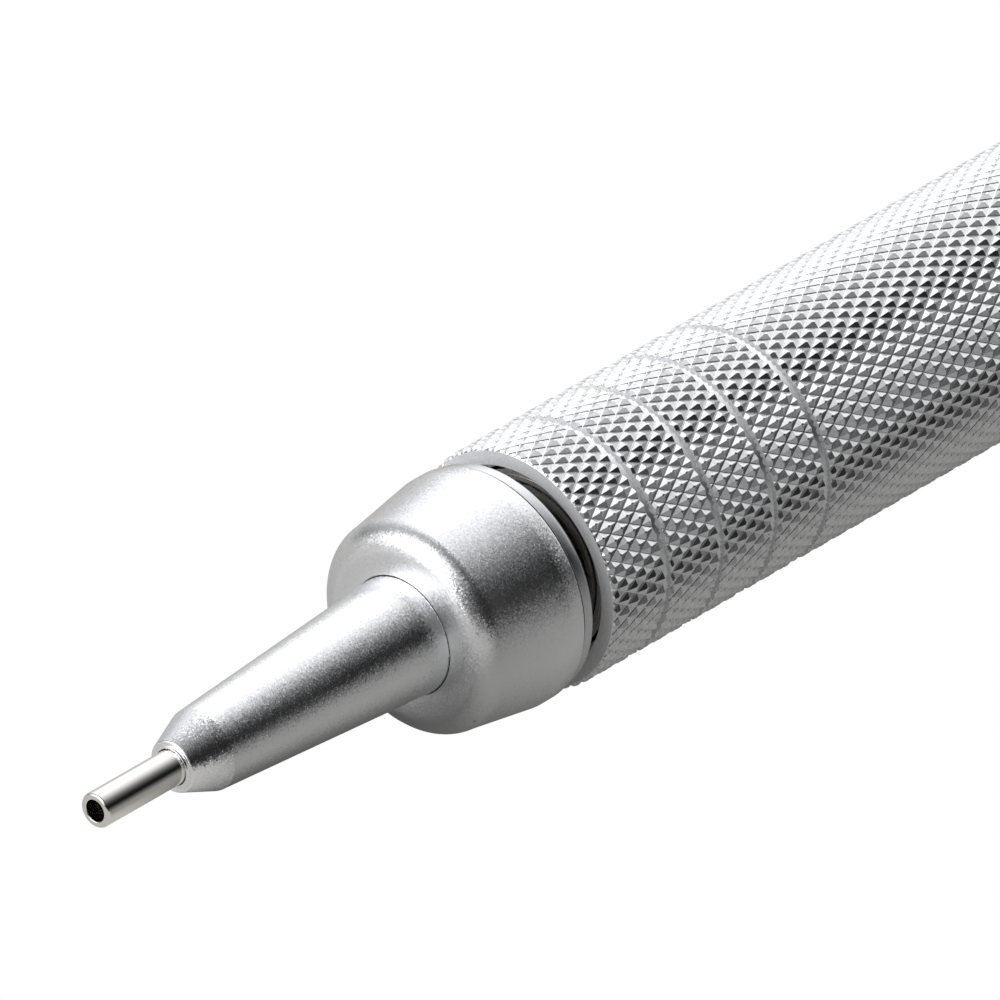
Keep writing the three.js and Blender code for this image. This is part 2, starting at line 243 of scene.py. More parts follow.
class Effects:
    """The surface effects that the finishes share, each one a node group that is written once."""

    def __init__(self) -> None:
        """Writes the three groups."""
        self.blast = self._blast()
        self.turning = self._turning()
        self.handling = self._handling()

    @staticmethod
    def _blast() -> bpy.types.NodeTree:
        """Fine overlapping dents of a bead-blasted or cast skin, with a few tiny hollows that the material paints
        near black as painted shade.
        """
        writer, given, end = group_tree(
            "fine_grain", "ShaderNodeTree",
            {"Place": (VECTOR, None), "Grain": (FLOAT, 0.06), "Depth": (FLOAT, 0.004), "Tilt": (FLOAT, 0.0),
             "Pit Shade Share": (FLOAT, 0.0)},
            {"Height": FLOAT, "Normal": VECTOR, "Pit Shade": FLOAT, "Tone": FLOAT})
        scale = writer.math("DIVIDE", 1.0, given["Grain"])
        facets = writer.add("ShaderNodeTexVoronoi", {"Vector": given["Place"], "Scale": scale})
        soft = writer.add("ShaderNodeTexNoise", {"Vector": given["Place"], "Detail": 2.0, "Roughness": 0.6})
        writer.fill(soft, {"Scale": scale})
        centred = writer.vector("SUBTRACT", facets.outputs["Color"], (0.5, 0.5, 0.5))
        cubed = writer.vector("MULTIPLY", writer.vector("MULTIPLY", centred, centred), centred)
        tilt = writer.add("ShaderNodeVectorMath", {0: cubed, 3: writer.math("MULTIPLY", given["Tilt"], 8.0)},
                          operation="SCALE").outputs[0]
        normal = writer.add("ShaderNodeNewGeometry").outputs["Normal"]
        leaning = writer.vector("NORMALIZE", writer.vector("ADD", normal, tilt))
        # Tiny hollows that the material paints near black: painted shade.
        spots = writer.add("ShaderNodeTexVoronoi", {"Vector": given["Place"], "Scale": 0.55})
        pit_shade = writer.range(spots.outputs["Distance"], (0.035, 0.06), (1.0, 0.0))
        chosen = writer.math("GREATER_THAN", writer.add("ShaderNodeSeparateColor", {
            0: spots.outputs["Color"]}).outputs[0], 0.55)
        pit_shade = writer.math("MULTIPLY", writer.math("MULTIPLY", pit_shade, chosen), given["Pit Shade Share"])
        writer.fill(end, {
            "Height": writer.math("MULTIPLY", soft.outputs[0], given["Depth"]), "Normal": leaning,
            "Pit Shade": pit_shade, "Tone": writer.range(soft.outputs[0], NOISE_SPAN, (-1.0, 1.0))})
        return writer.tree

    @staticmethod
    def _turning() -> bpy.types.NodeTree:
        """Fine rings that a lathe tool leaves about the pencil's axis, on sides and on end faces."""
        writer, given, end = group_tree(
            "turning_marks", "ShaderNodeTree",
            {"Place": (VECTOR, None), "Pitch": (FLOAT, 0.08), "Depth": (FLOAT, 0.001)},
            {"Height": FLOAT, "Tone": FLOAT})
        parts = writer.add("ShaderNodeSeparateXYZ", {0: given["Place"]})
        radius = writer.math("SQRT", writer.math(
            "ADD", writer.math("POWER", parts.outputs[1], 2.0), writer.math("POWER", parts.outputs[2], 2.0)))
        angle = writer.math("ARCTAN2", parts.outputs[1], parts.outputs[2])
        rings = writer.add("ShaderNodeCombineXYZ", {
            0: writer.math("DIVIDE", parts.outputs[0], given["Pitch"]),
            1: writer.math("DIVIDE", radius, given["Pitch"]),
            2: writer.math("MULTIPLY", angle, 0.6)})
        marks = writer.add("ShaderNodeTexNoise", {"Vector": rings.outputs[0], "Scale": 1.0, "Detail": 2.0})
        writer.fill(end, {"Height": writer.math("MULTIPLY", marks.outputs[0], given["Depth"]),
                          "Tone": writer.range(marks.outputs[0], NOISE_SPAN, (-1.0, 1.0))})
        return writer.tree

    @staticmethod
    def _handling() -> bpy.types.NodeTree:
        """Broad patches where fingers have dulled the surface, and faint hairline scratches."""
        writer, given, end = group_tree(
            "handling", "ShaderNodeTree",
            {"Place": (VECTOR, None), "Low": (FLOAT, 0.2), "High": (FLOAT, 0.3)},
            {"Roughness": FLOAT, "Scratch": FLOAT})
        patches = writer.add("ShaderNodeTexNoise", {"Vector": given["Place"], "Scale": 0.35, "Detail": 4.0})
        span = writer.math("SUBTRACT", given["High"], given["Low"])
        share = writer.range(patches.outputs[0], (0.35, 0.65), (0.0, 1.0))
        rough = writer.math("ADD", given["Low"], writer.math("MULTIPLY", share, span))
        slanted = writer.add("ShaderNodeMapping", {"Vector": given["Place"], "Rotation": (0.3, 0.5, 0.9),
                                                   "Scale": (0.12, 3.0, 3.0)})
        hairs = writer.add("ShaderNodeTexNoise", {"Vector": slanted.outputs[0], "Scale": 2.2, "Detail": 1.0})
        scratch = writer.range(hairs.outputs[0], (0.7, 0.76), (0.0, 1.0))
        writer.fill(end, {"Roughness": rough, "Scratch": scratch})
        return writer.tree


@dataclass(frozen=True)
class Finish:
    """One finish of the pencil's parts.

    Attributes:
        slot: The record's material slot.
        colour: Base colour.
        metallic: 1 for bare metal.
        rough: Lowest and highest roughness.
        grain: Size and depth of the skin's fine grain, in millimetres.
        turning: Pitch and depth of the tool's rings, in millimetres.
        tone: How far the grain and the rings change the colour.
        sparkle: How far the grain's facets lean.
        faced: Roughness that faces square to the axis have on top.
        milky: How much of their mirroring the same faces lose to soft white scatter.
        pit_shade_share: Share of the tiny hollows that show, painted near black as painted shade.
        edge: How much lighter a rounded edge's colour is: partly painted highlight, partly burnished wear.
        edge_rough: Roughness that is taken off at a rounded edge.
        specular: Specular level, for finishes that aren't metal.
    """

    slot: str
    colour: tuple[float, float, float]
    metallic: float = 1.0
    rough: tuple[float, float] = (0.25, 0.32)
    grain: tuple[float, float] = (0.08, 0.0005)
    turning: tuple[float, float] = (0.08, 0.0004)
    tone: float = 0.04
    sparkle: float = 0.0
    faced: float = 0.0
    milky: float = 0.0
    pit_shade_share: float = 0.0
    edge: float = 0.15
    edge_rough: float = 0.08
    specular: float = 0.5

    def make(self, effects: Effects) -> bpy.types.Material:
        """Writes the material.

        Args:
            effects: The node groups that the finishes share.

        Returns:
            The material, named after its slot.
        """
        material = bpy.data.materials.new(self.slot)
        material.use_nodes = True
        writer = TreeWriter(material.node_tree)
        shader = writer.add("ShaderNodeBsdfPrincipled", {
            "Metallic": self.metallic, "Specular IOR Level": self.specular})
        where = writer.add("ShaderNodeTexCoord")
        place = writer.add("ShaderNodeMapping", {
            "Vector": where.outputs["Object"], "Scale": (1 / MM,) * 3,
            "Location": (-SPINDLE.tip / MM, -SPINDLE.y / MM, -SPINDLE.z / MM)}).outputs[0]
        grain = writer.add("ShaderNodeGroup", node_tree=effects.blast)
        rings = writer.add("ShaderNodeGroup", node_tree=effects.turning)
        hands = writer.add("ShaderNodeGroup", node_tree=effects.handling)
        writer.fill(grain, {"Place": place, "Grain": self.grain[0], "Depth": self.grain[1],
                            "Tilt": self.sparkle, "Pit Shade Share": self.pit_shade_share})
        writer.fill(rings, {"Place": place, "Pitch": self.turning[0], "Depth": self.turning[1]})
        writer.fill(hands, {"Place": place, "Low": self.rough[0], "High": self.rough[1]})

        edges = writer.add("ShaderNodeAttribute", attribute_name="edge").outputs["Fac"]
        tone = grain.outputs["Tone"]
        if self.turning[1] > 0:
            tone = writer.math("ADD", tone, rings.outputs["Tone"])
        tone_and_edge_highlight = writer.math("ADD", 1.0, writer.math("MULTIPLY", tone, self.tone))
        # Rounded edges get a lighter colour: partly painted highlight, partly burnished wear.
        tone_and_edge_highlight = writer.math("ADD", tone_and_edge_highlight, writer.math("MULTIPLY", edges, self.edge))
        level = writer.add("ShaderNodeCombineXYZ", {0: tone_and_edge_highlight, 1: tone_and_edge_highlight, 2: tone_and_edge_highlight}).outputs[0]
        base = writer.mix(1.0, (*self.colour, 1.0), level, "MULTIPLY")
        # Painted shade: the tiny hollows are painted near black.
        base = writer.mix(grain.outputs["Pit Shade"], base, PIT_SHADE_COLOUR)

        worn = writer.math("MULTIPLY", edges, self.edge_rough)
        rough = writer.math("SUBTRACT", hands.outputs["Roughness"], worn)
        scratched = writer.math("MULTIPLY", hands.outputs["Scratch"], SCRATCH_ROUGHNESS)
        rough = writer.math("ADD", rough, scratched, clamp=True)
        facing = writer.add("ShaderNodeSeparateXYZ", {0: where.outputs["Normal"]}).outputs[0]
        facing = writer.range(writer.math("ABSOLUTE", facing), SQUARE_FROM, (0.0, 1.0))
        rough = writer.math("ADD", rough, writer.math("MULTIPLY", facing, self.faced), clamp=True)
        if self.milky > 0:
            scatter = writer.math("MULTIPLY", facing, self.milky)
            writer.fill(shader, {"Metallic": writer.math("SUBTRACT", self.metallic, scatter)})
        height = writer.math("ADD", grain.outputs["Height"], rings.outputs["Height"])
        bump = writer.add("ShaderNodeBump", {
            "Height": height, "Distance": MM, "Strength": 1.0, "Normal": grain.outputs["Normal"]})
        writer.fill(shader, {"Base Color": base, "Roughness": rough, "Normal": bump.outputs[0]})
        writer.add("ShaderNodeOutputMaterial", {"Surface": shader.outputs[0]})
        return material


FINISHES = (
    Finish("blasted_aluminium", (0.86, 0.87, 0.88), rough=(0.26, 0.3), grain=(0.045, 0.001),
           turning=(0.2, 0.0), tone=0.04, sparkle=0.115, faced=0.16, pit_shade_share=1.0, edge=0.12, edge_rough=0.06),
    Finish("bright_aluminium", (0.9, 0.91, 0.92), rough=(0.16, 0.22), grain=(0.12, 0.0006),
           turning=(0.05, 0.0012), tone=0.06, faced=0.6, milky=0.95, edge=0.08, edge_rough=0.05),
    Finish("satin_aluminium", (0.64, 0.65, 0.66), rough=(0.3, 0.36), grain=(0.1, 0.0006),
           turning=(0.06, 0.0012), tone=0.05, edge=0.15, edge_rough=0.1),
    Finish("polished_steel", (0.72, 0.7, 0.67), rough=(0.08, 0.13), grain=(0.15, 0.0001),
           turning=(0.04, 0.0002), tone=0.02, edge=0.3, edge_rough=0.04),
    Finish("spring_steel", (0.5, 0.5, 0.52), rough=(0.22, 0.3), tone=0.05),
    Finish("brass", (0.8, 0.6, 0.28), rough=(0.2, 0.28), turning=(0.06, 0.001), tone=0.05),
    Finish("black_rubber", (0.02, 0.02, 0.02), metallic=0.0, rough=(0.6, 0.75), grain=(0.1, 0.003),
           turning=(0.3, 0.0), tone=0.2, edge=0.0, edge_rough=0.0, specular=0.3),
    Finish("pale_rubber", (0.3, 0.31, 0.3), metallic=0.0, rough=(0.6, 0.75), grain=(0.1, 0.003),
           turning=(0.3, 0.0), tone=0.1, edge=0.0, edge_rough=0.0, specular=0.3),
    Finish("black_plastic", (0.03, 0.03, 0.034), metallic=0.0, rough=(0.3, 0.42), grain=(0.08, 0.0015),
           turning=(0.3, 0.0004), tone=0.15, edge=0.5, edge_rough=0.05),
    Finish("white_eraser", (0.84, 0.83, 0.8), metallic=0.0, rough=(0.7, 0.85), grain=(0.14, 0.01),
           turning=(0.5, 0.0), tone=0.03, edge=-0.1, edge_rough=0.0, specular=0.25),
    Finish("graphite", (0.035, 0.035, 0.04), metallic=0.15, rough=(0.32, 0.45), grain=(0.05, 0.002),
           turning=(0.1, 0.0), tone=0.2, edge=0.3, edge_rough=0.0),
)


# ---- Turned pieces -----------------------------------------------


class Fineness(Enum):
    """How many sides a turned piece has."""

    OUTER = 160
    INNER = 72
    SMALL = 40


def rounded(corners: list[Corner], closed: bool) -> list[tuple[float, float, float]]:
    """Rounds the corners of an outline.

    Args:
        corners: Place and radius of each corner, and where it is rounded the radius of its rounding.
        closed: True if the last corner joins the first.

    Returns:
        Place and radius of each point, and 1 where the point is on a rounding and 0 elsewhere.
    """
    step = math.radians(18)
    points = []
    for i, corner in enumerate(corners):
        here = Vector(corner[:2])
        size = corner[2] if len(corner) > 2 else 0.0
        if size <= 0 or not (closed or 0 < i < len(corners) - 1):
            points.append((*here, 0.0))
            continue
        before = Vector(corners[i - 1][:2]) - here
        after = Vector(corners[(i + 1) % len(corners)][:2]) - here
        half = before.angle(after) / 2
        reach = min(size / math.tan(half), 0.49 * before.length, 0.49 * after.length)
        size = reach * math.tan(half)
        bisector = (before.normalized() + after.normalized()).normalized()
        centre = here + bisector * size / math.sin(half)
        first = here + before.normalized() * reach - centre
        last = here + after.normalized() * reach - centre
        count = max(2, math.ceil(first.angle(last) / step))
        for k in range(count + 1):
            spot = centre + first.slerp(last, k / count) * size
            points.append((*spot, 1.0))
    return points


def finish_mesh(name: str, bm: bmesh.types.BMesh, sharp_over: float = 30.0) -> bpy.types.Object:
    """Turns a built mesh into a piece with its faces outwards and its corners sharp.

    Args:
        name: The piece's name.
        bm: The built mesh, which is freed.
        sharp_over: Angle between two faces from which their edge stays sharp, in degrees.

    Returns:
        The new object.
    """
    bmesh.ops.recalc_face_normals(bm, faces=bm.faces[:])
    data = bpy.data.meshes.new(name)
    bm.to_mesh(data)
    bm.free()
    data.shade_smooth()
    data.set_sharp_from_angle(angle=math.radians(sharp_over))
    piece = bpy.data.objects.new(name, data)
    bpy.context.scene.collection.objects.link(piece)
    return piece


def lathe_rings(bm: bmesh.types.BMesh, points: list, sides: int, axis: Vector | None = None) -> list[list]:
    """Turns an outline's points about the pencil's axis.

    Args:
        bm: The mesh that gets the rings' vertices.
        points: Place, radius and edge mark of each point.
        sides: Number of vertices in a ring.
        axis: A point on another axis along X to turn about, if it isn't the pencil's.

    Returns:
        One list of vertices for each point, of one vertex where the point is on the axis.
    """
    marks = bm.verts.layers.float.get("edge") or bm.verts.layers.float.new("edge")
    shift = Vector() if axis is None else Vector((0.0, axis.y - SPINDLE.y, axis.z - SPINDLE.z))
    rings = []
    for place, radius, mark in points:
        count = sides if radius > 0 else 1
        spots = [SPINDLE.point(place, radius, 2 * math.pi * k / sides) + shift for k in range(count)]
        ring = [bm.verts.new(spot) for spot in spots]
        for vertex in ring:
            vertex[marks] = mark
        rings.append(ring)
    return rings


def join_rings(bm: bmesh.types.BMesh, first: list, second: list) -> None:
    """Joins two neighbouring rings of a turned piece with faces. A ring of one vertex is a pole."""
    sides = max(len(first), len(second))
    for k in range(sides):
        after = (k + 1) % sides
        if len(first) == 1:
            bm.faces.new((first[0], second[k], second[after]))
        elif len(second) == 1:
            bm.faces.new((first[k], second[0], first[after]))
        else:
            bm.faces.new((first[k], second[k], second[after], first[after]))


def turned(name: str, corners: list[Corner], fineness: Fineness = Fineness.INNER,
           axis: Vector | None = None) -> bpy.types.Object:
    """Makes a turned piece from the outline of its section.

    Args:
        name: The piece's name.
        corners: The section's corners, as rounded takes them. A solid piece's outline starts and ends on the
            axis, and any other closes on itself.
        fineness: How many sides the piece has.
        axis: A point on the axis to turn about, if it isn't the pencil's.

    Returns:
        The new object.
    """
    closed = corners[0][1] > 0
    bm = bmesh.new()
    rings = lathe_rings(bm, rounded(corners, closed), fineness.value, axis)
    followers = rings[1:] + rings[:1] if closed else rings[1:]
    for first, second in zip(rings, followers):
        join_rings(bm, first, second)
    return finish_mesh(name, bm)


def plain_ring(seat: Seat, outer: float, inner: float) -> list[Corner]:
    """Gives the section of a ring that fills its room, with its outer and inner edges rounded."""
    return [(seat.front, seat.radius, outer), (seat.rear, seat.radius, outer),
            (seat.rear, seat.bore, inner), (seat.front, seat.bore, inner)]


def turned_line(place: float, radius: float, width: float, depth: float, edge: float = 0.04,
                slope: float = 0.08) -> list[Corner]:
    """Gives the corners of a line that is turned into a side.

    Args:
        place: Where the line begins.
        radius: The side's radius.
        width: The line's width at the side.
        depth: The line's depth.
        edge: Rounding of its edges.
        slope: Length of each sloped wall.

    Returns:
        Four corners, from front to rear.
    """
    end = place + width
    return [(place, radius, edge), (place + slope, radius - depth), (end - slope, radius - depth),
            (end, radius, edge)]


def quarter_round(front: Corner, end: Corner, count: int) -> list[Corner]:
    """Gives the points of a large rounded edge that leaves a flat face and arrives along a side."""
    points = []
    for k in range(count + 1):
        angle = math.pi / 2 * k / count
        place = front[0] + (end[0] - front[0]) * (1 - math.cos(angle))
        points.append((place, front[1] + (end[1] - front[1]) * math.sin(angle)))
    return points


def grown(piece: bpy.types.Object, tree: bpy.types.NodeTree, values: dict) -> bpy.types.Mesh:
    """Runs a geometry tree on an object and gives its result as a plain mesh.

    Args:
        piece: The object, whose own mesh is the tree's input.
        tree: The geometry tree.
        values: What each named input of the tree gets.

    Returns:
        The new mesh. The modifier is off the object again.
    """
    modifier = piece.modifiers.new("growth", "NODES")
    modifier.node_group = tree
    for item in tree.interface.items_tree:
        if item.in_out == "INPUT" and item.name in values:
            modifier[item.identifier] = values[item.name]
    bpy.context.view_layer.update()
    graph = bpy.context.evaluated_depsgraph_get()
    data = bpy.data.meshes.new_from_object(piece.evaluated_get(graph), depsgraph=graph)
    piece.modifiers.remove(modifier)
    return data


class Workshop:
    """Keeps the finishes and hands finished pieces over to the frame."""

    def __init__(self) -> None:
        """Writes every finish."""
        effects = Effects()
        self.materials = {finish.slot: finish.make(effects) for finish in FINISHES}

    def hand_over(self, piece: bpy.types.Object, node: str) -> bpy.types.Object:
        """Lets a piece stand for a node of the frame, on the node's own body and in its own finish.

        Args:
            piece: The finished mesh, in its place in the frame.
            node: The frame's node that it stands for.

        Returns:
            The piece.
        """
        slot = SLOT_OF[node]
        piece.data.materials.clear()
        piece.data.materials.append(self.materials[slot])
        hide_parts(node)
        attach(piece, BODY_OF[node])
        LOG.info("%s: %d faces on %s", piece.name, len(piece.data.polygons), BODY_OF[node])
        return piece

    def turn(self, node: str, name: str, corners: list[Corner], fineness: Fineness = Fineness.INNER,
             axis: Vector | None = None) -> None:
        """Makes a turned piece as turned does, and hands it over for a node of the frame."""
        self.hand_over(turned(name, corners, fineness, axis), node)

    def keep(self, node: str) -> None:
        """Leaves a node of the frame showing and gives it its finish."""
        data = frame["nodes"][node].data
        data.materials.clear()
        data.materials.append(self.materials[SLOT_OF[node]])
        LOG.info("%s: kept from the frame", node)


# ---- Sub-assemblies ----------------------------------------------


@dataclass
class Nose:
    """The fixed lead sleeve with its holder and retainer, and the cone that slides over it.

    Attributes:
        shop: Takes the finished pieces.
        tube_radius: The lead sleeve's outside.
        rim: Rounding of its rim, outside and in the bore.
        flange_front: Where its pressed-in flange begins.
        face_radius: The cone's front face.
        knee: Where the steep cone meets the long taper.
        shank: Where the taper ends and the plain shank begins.
        collar_length: Length of the collar at the cone's rear.
        guide_bore: Bore that slides on the lead sleeve.
        guide_step: Front and rear of the cone's step from that bore to the next.
        holder_bore: Bore round the brass holder.
        core_step: Front and rear of the step from that bore to the last.
        core_bore: Bore round the core tube.
        holder_radius: The brass holder's thin front.
        holder_shoulder: Where its thick rear begins.
        holder_cup: Floor and radius of the cup at its rear.
        retainer_room: Floor and radius of the room for the retainer.
    """

    shop: Workshop
    tube_radius: float = 0.645
    rim: tuple[float, float] = (0.17, 0.04)
    flange_front: float = 9.3
    face_radius: float = 0.94
    knee: Corner = (5.4, 1.52, 0.3)
    shank: Corner = (15.52, 2.19, 1.2)
    collar_length: float = 1.8
    guide_bore: float = 0.654
    guide_step: tuple[float, float] = (6.5, 6.9)
    holder_bore: float = 1.25
    core_step: tuple[float, float] = (12.2, 12.5)
    core_bore: float = 1.55
    holder_radius: float = 1.2
    holder_shoulder: float = 12.6
    holder_cup: Corner = (12.4, 1.22)
    retainer_room: Corner = (9.2, 0.92)

    def build(self) -> None:
        """Builds the four pieces."""
        self._sleeve()
        self._cone()
        self._holder()
        self._retainer()

    def _sleeve(self) -> None:
        """Polished tube with a full, slightly burred rim and an open bore."""
        seat = SPINDLE.seat("lead_sleeve")
        self.shop.turn("lead_sleeve", "lead_tube_tip", [
            (seat.front, self.tube_radius, self.rim[0]), (self.flange_front, self.tube_radius, 0.03),
            (self.flange_front, seat.radius), (seat.rear, seat.radius), (seat.rear, seat.bore),
            (seat.front, seat.bore, self.rim[1])], Fineness.OUTER)

    def _cone(self) -> None:
        """Short steep cone, long slow taper, plain shank inside the shoulder, and the collar at its rear."""
        seat = SPINDLE.seat("nose_cone")
        collar, guide = seat.rear - self.collar_length, self.guide_bore
        lip = seat.front - 0.03
        self.shop.turn("nose_cone", "sliding_cone", [
            (seat.front, self.face_radius, 0.09), self.knee, self.shank, (collar, self.shank[1]),
            (collar, seat.radius, 0.1), (seat.rear, seat.radius, 0.1), (seat.rear, self.core_bore),
            (self.core_step[1], self.core_bore), (self.core_step[0], self.holder_bore),
            (self.guide_step[1], self.holder_bore), (self.guide_step[0], guide),
            (seat.front + 0.1, guide, 0.03), (lip, guide + 0.03, 0.03), (lip, guide + 0.08, 0.03),
            (seat.front + 0.05, guide + 0.11, 0.03)], Fineness.OUTER)

    def _holder(self) -> None:
        """Brass holder that the lead sleeve is pressed into."""
        seat = SPINDLE.seat("sleeve_holder")
        step, cup, room = self.holder_shoulder, self.holder_cup, self.retainer_room
        self.shop.turn("sleeve_holder", "brass_sleeve_holder", [
            (seat.front, 1.0), (seat.front + 0.2, self.holder_radius), (step, self.holder_radius),
            (step, seat.radius, 0.05), (seat.rear, seat.radius, 0.05), (seat.rear, cup[1]), cup,
            (cup[0], room[1]), room, (room[0], seat.bore), (seat.front, seat.bore, 0.03)])

    def _retainer(self) -> None:
        """Rubber sleeve that grips the lead."""
        seat = SPINDLE.seat("lead_retainer")
        self.shop.turn("lead_retainer", "rubber_lead_retainer", [
            (seat.front, seat.radius, 0.06), (seat.rear, seat.radius, 0.06), (seat.rear, seat.bore, 0.04),
            (seat.front + 0.7, seat.bore, 0.1), (seat.front, seat.bore + 0.13)], Fineness.SMALL)


@dataclass
class Shoulder:
    """The shoulder ring that is turned by hand, its drive sleeve, bearing ring and friction ring.

    Attributes:
        shop: Takes the finished pieces.
        face_radius: The shoulder's flat front face.
        round_end: Where its large rounded edge ends.
        band_front: Where its coned side meets the short cylindrical band.
        wall: Thickness of its front wall.
        thread_radius: Its inside behind that wall.
        hole: The hole that the cone's shank comes out of.
        neck_radius: The drive sleeve's outside.
        flange_length: Length of the drive sleeve's flange.
        seam: Gap between the shoulder and the bearing ring.
        bearing_bevel: Distance from the bearing ring's room's rear to its bevel.
        bearing_short: Distance by which the bearing ring ends before its room's rear.
    """

    shop: Workshop
    face_radius: float = 2.85
    round_end: Corner = (16.5, 3.98)
    band_front: float = 19.35
    wall: float = 1.58
    thread_radius: float = 3.45
    neck_radius: float = 3.4
    hole: float = 2.215
    flange_length: float = 1.0
    seam: float = 0.04
    bearing_bevel: float = 0.42
    bearing_short: float = 0.15

    def build(self) -> None:
        """Builds the four pieces."""
        self._ring()
        self._drive_sleeve()
        self._bearing_ring()
        self._friction_ring()

    def _ring(self) -> None:
        """Blasted shoulder: flat face, large rounded edge, coned side and a short cylindrical band."""
        seat = SPINDLE.seat("adjuster_ring")
        hole = self.hole
        wall_end = seat.front + self.wall
        corners = [*quarter_round((seat.front, self.face_radius), self.round_end, 14),
                   (self.band_front, seat.radius, 0.3), (seat.rear, seat.radius - 0.01, 0.07),
                   (seat.rear, self.thread_radius), (wall_end, self.thread_radius), (wall_end, hole),
                   (seat.front, hole, 0.035)]
        self.shop.turn("adjuster_ring", "turning_shoulder", corners, Fineness.OUTER)

    def _drive_sleeve(self) -> None:
        """Steel sleeve between the shoulder and the grip, with a rounded front and a flange at its rear."""
        seat = SPINDLE.seat("drive_sleeve")
        flange = seat.rear - self.flange_length
        self.shop.turn("drive_sleeve", "shoulder_drive_sleeve", [
            (seat.front, self.neck_radius, 0.1), (flange, self.neck_radius), (flange, seat.radius, 0.08),
            (seat.rear, seat.radius, 0.08), (seat.rear, seat.bore, 0.05), (seat.front, seat.bore, 0.05)],
            Fineness.OUTER)

    def _bearing_ring(self) -> None:
        """Narrow satin ring behind the shoulder, with a bright bevelled rear edge."""
        seat = SPINDLE.seat("bearing_ring")
        front, rear = seat.front + self.seam, seat.rear - self.bearing_short
        self.shop.turn("bearing_ring", "shoulder_bearing_ring", [
            (front, seat.radius - 0.03, 0.02), (seat.rear - self.bearing_bevel, seat.radius - 0.04, 0.1),
            (rear, seat.radius - 0.3, 0.04), (rear, seat.bore, 0.04), (front, seat.bore)], Fineness.OUTER)

    def _friction_ring(self) -> None:
        """Rubber ring of round section in its groove in the grip."""
        seat = SPINDLE.seat("friction_o_ring")
        wire = (seat.rear - seat.front) / 2
        centre = (seat.front + wire, seat.radius - wire)
        section = [(centre[0] - wire * math.cos(a), centre[1] + wire * math.sin(a))
                   for a in np.linspace(0, 2 * math.pi, 12, endpoint=False)]
        self.shop.turn("friction_o_ring", "rubber_friction_ring", section)


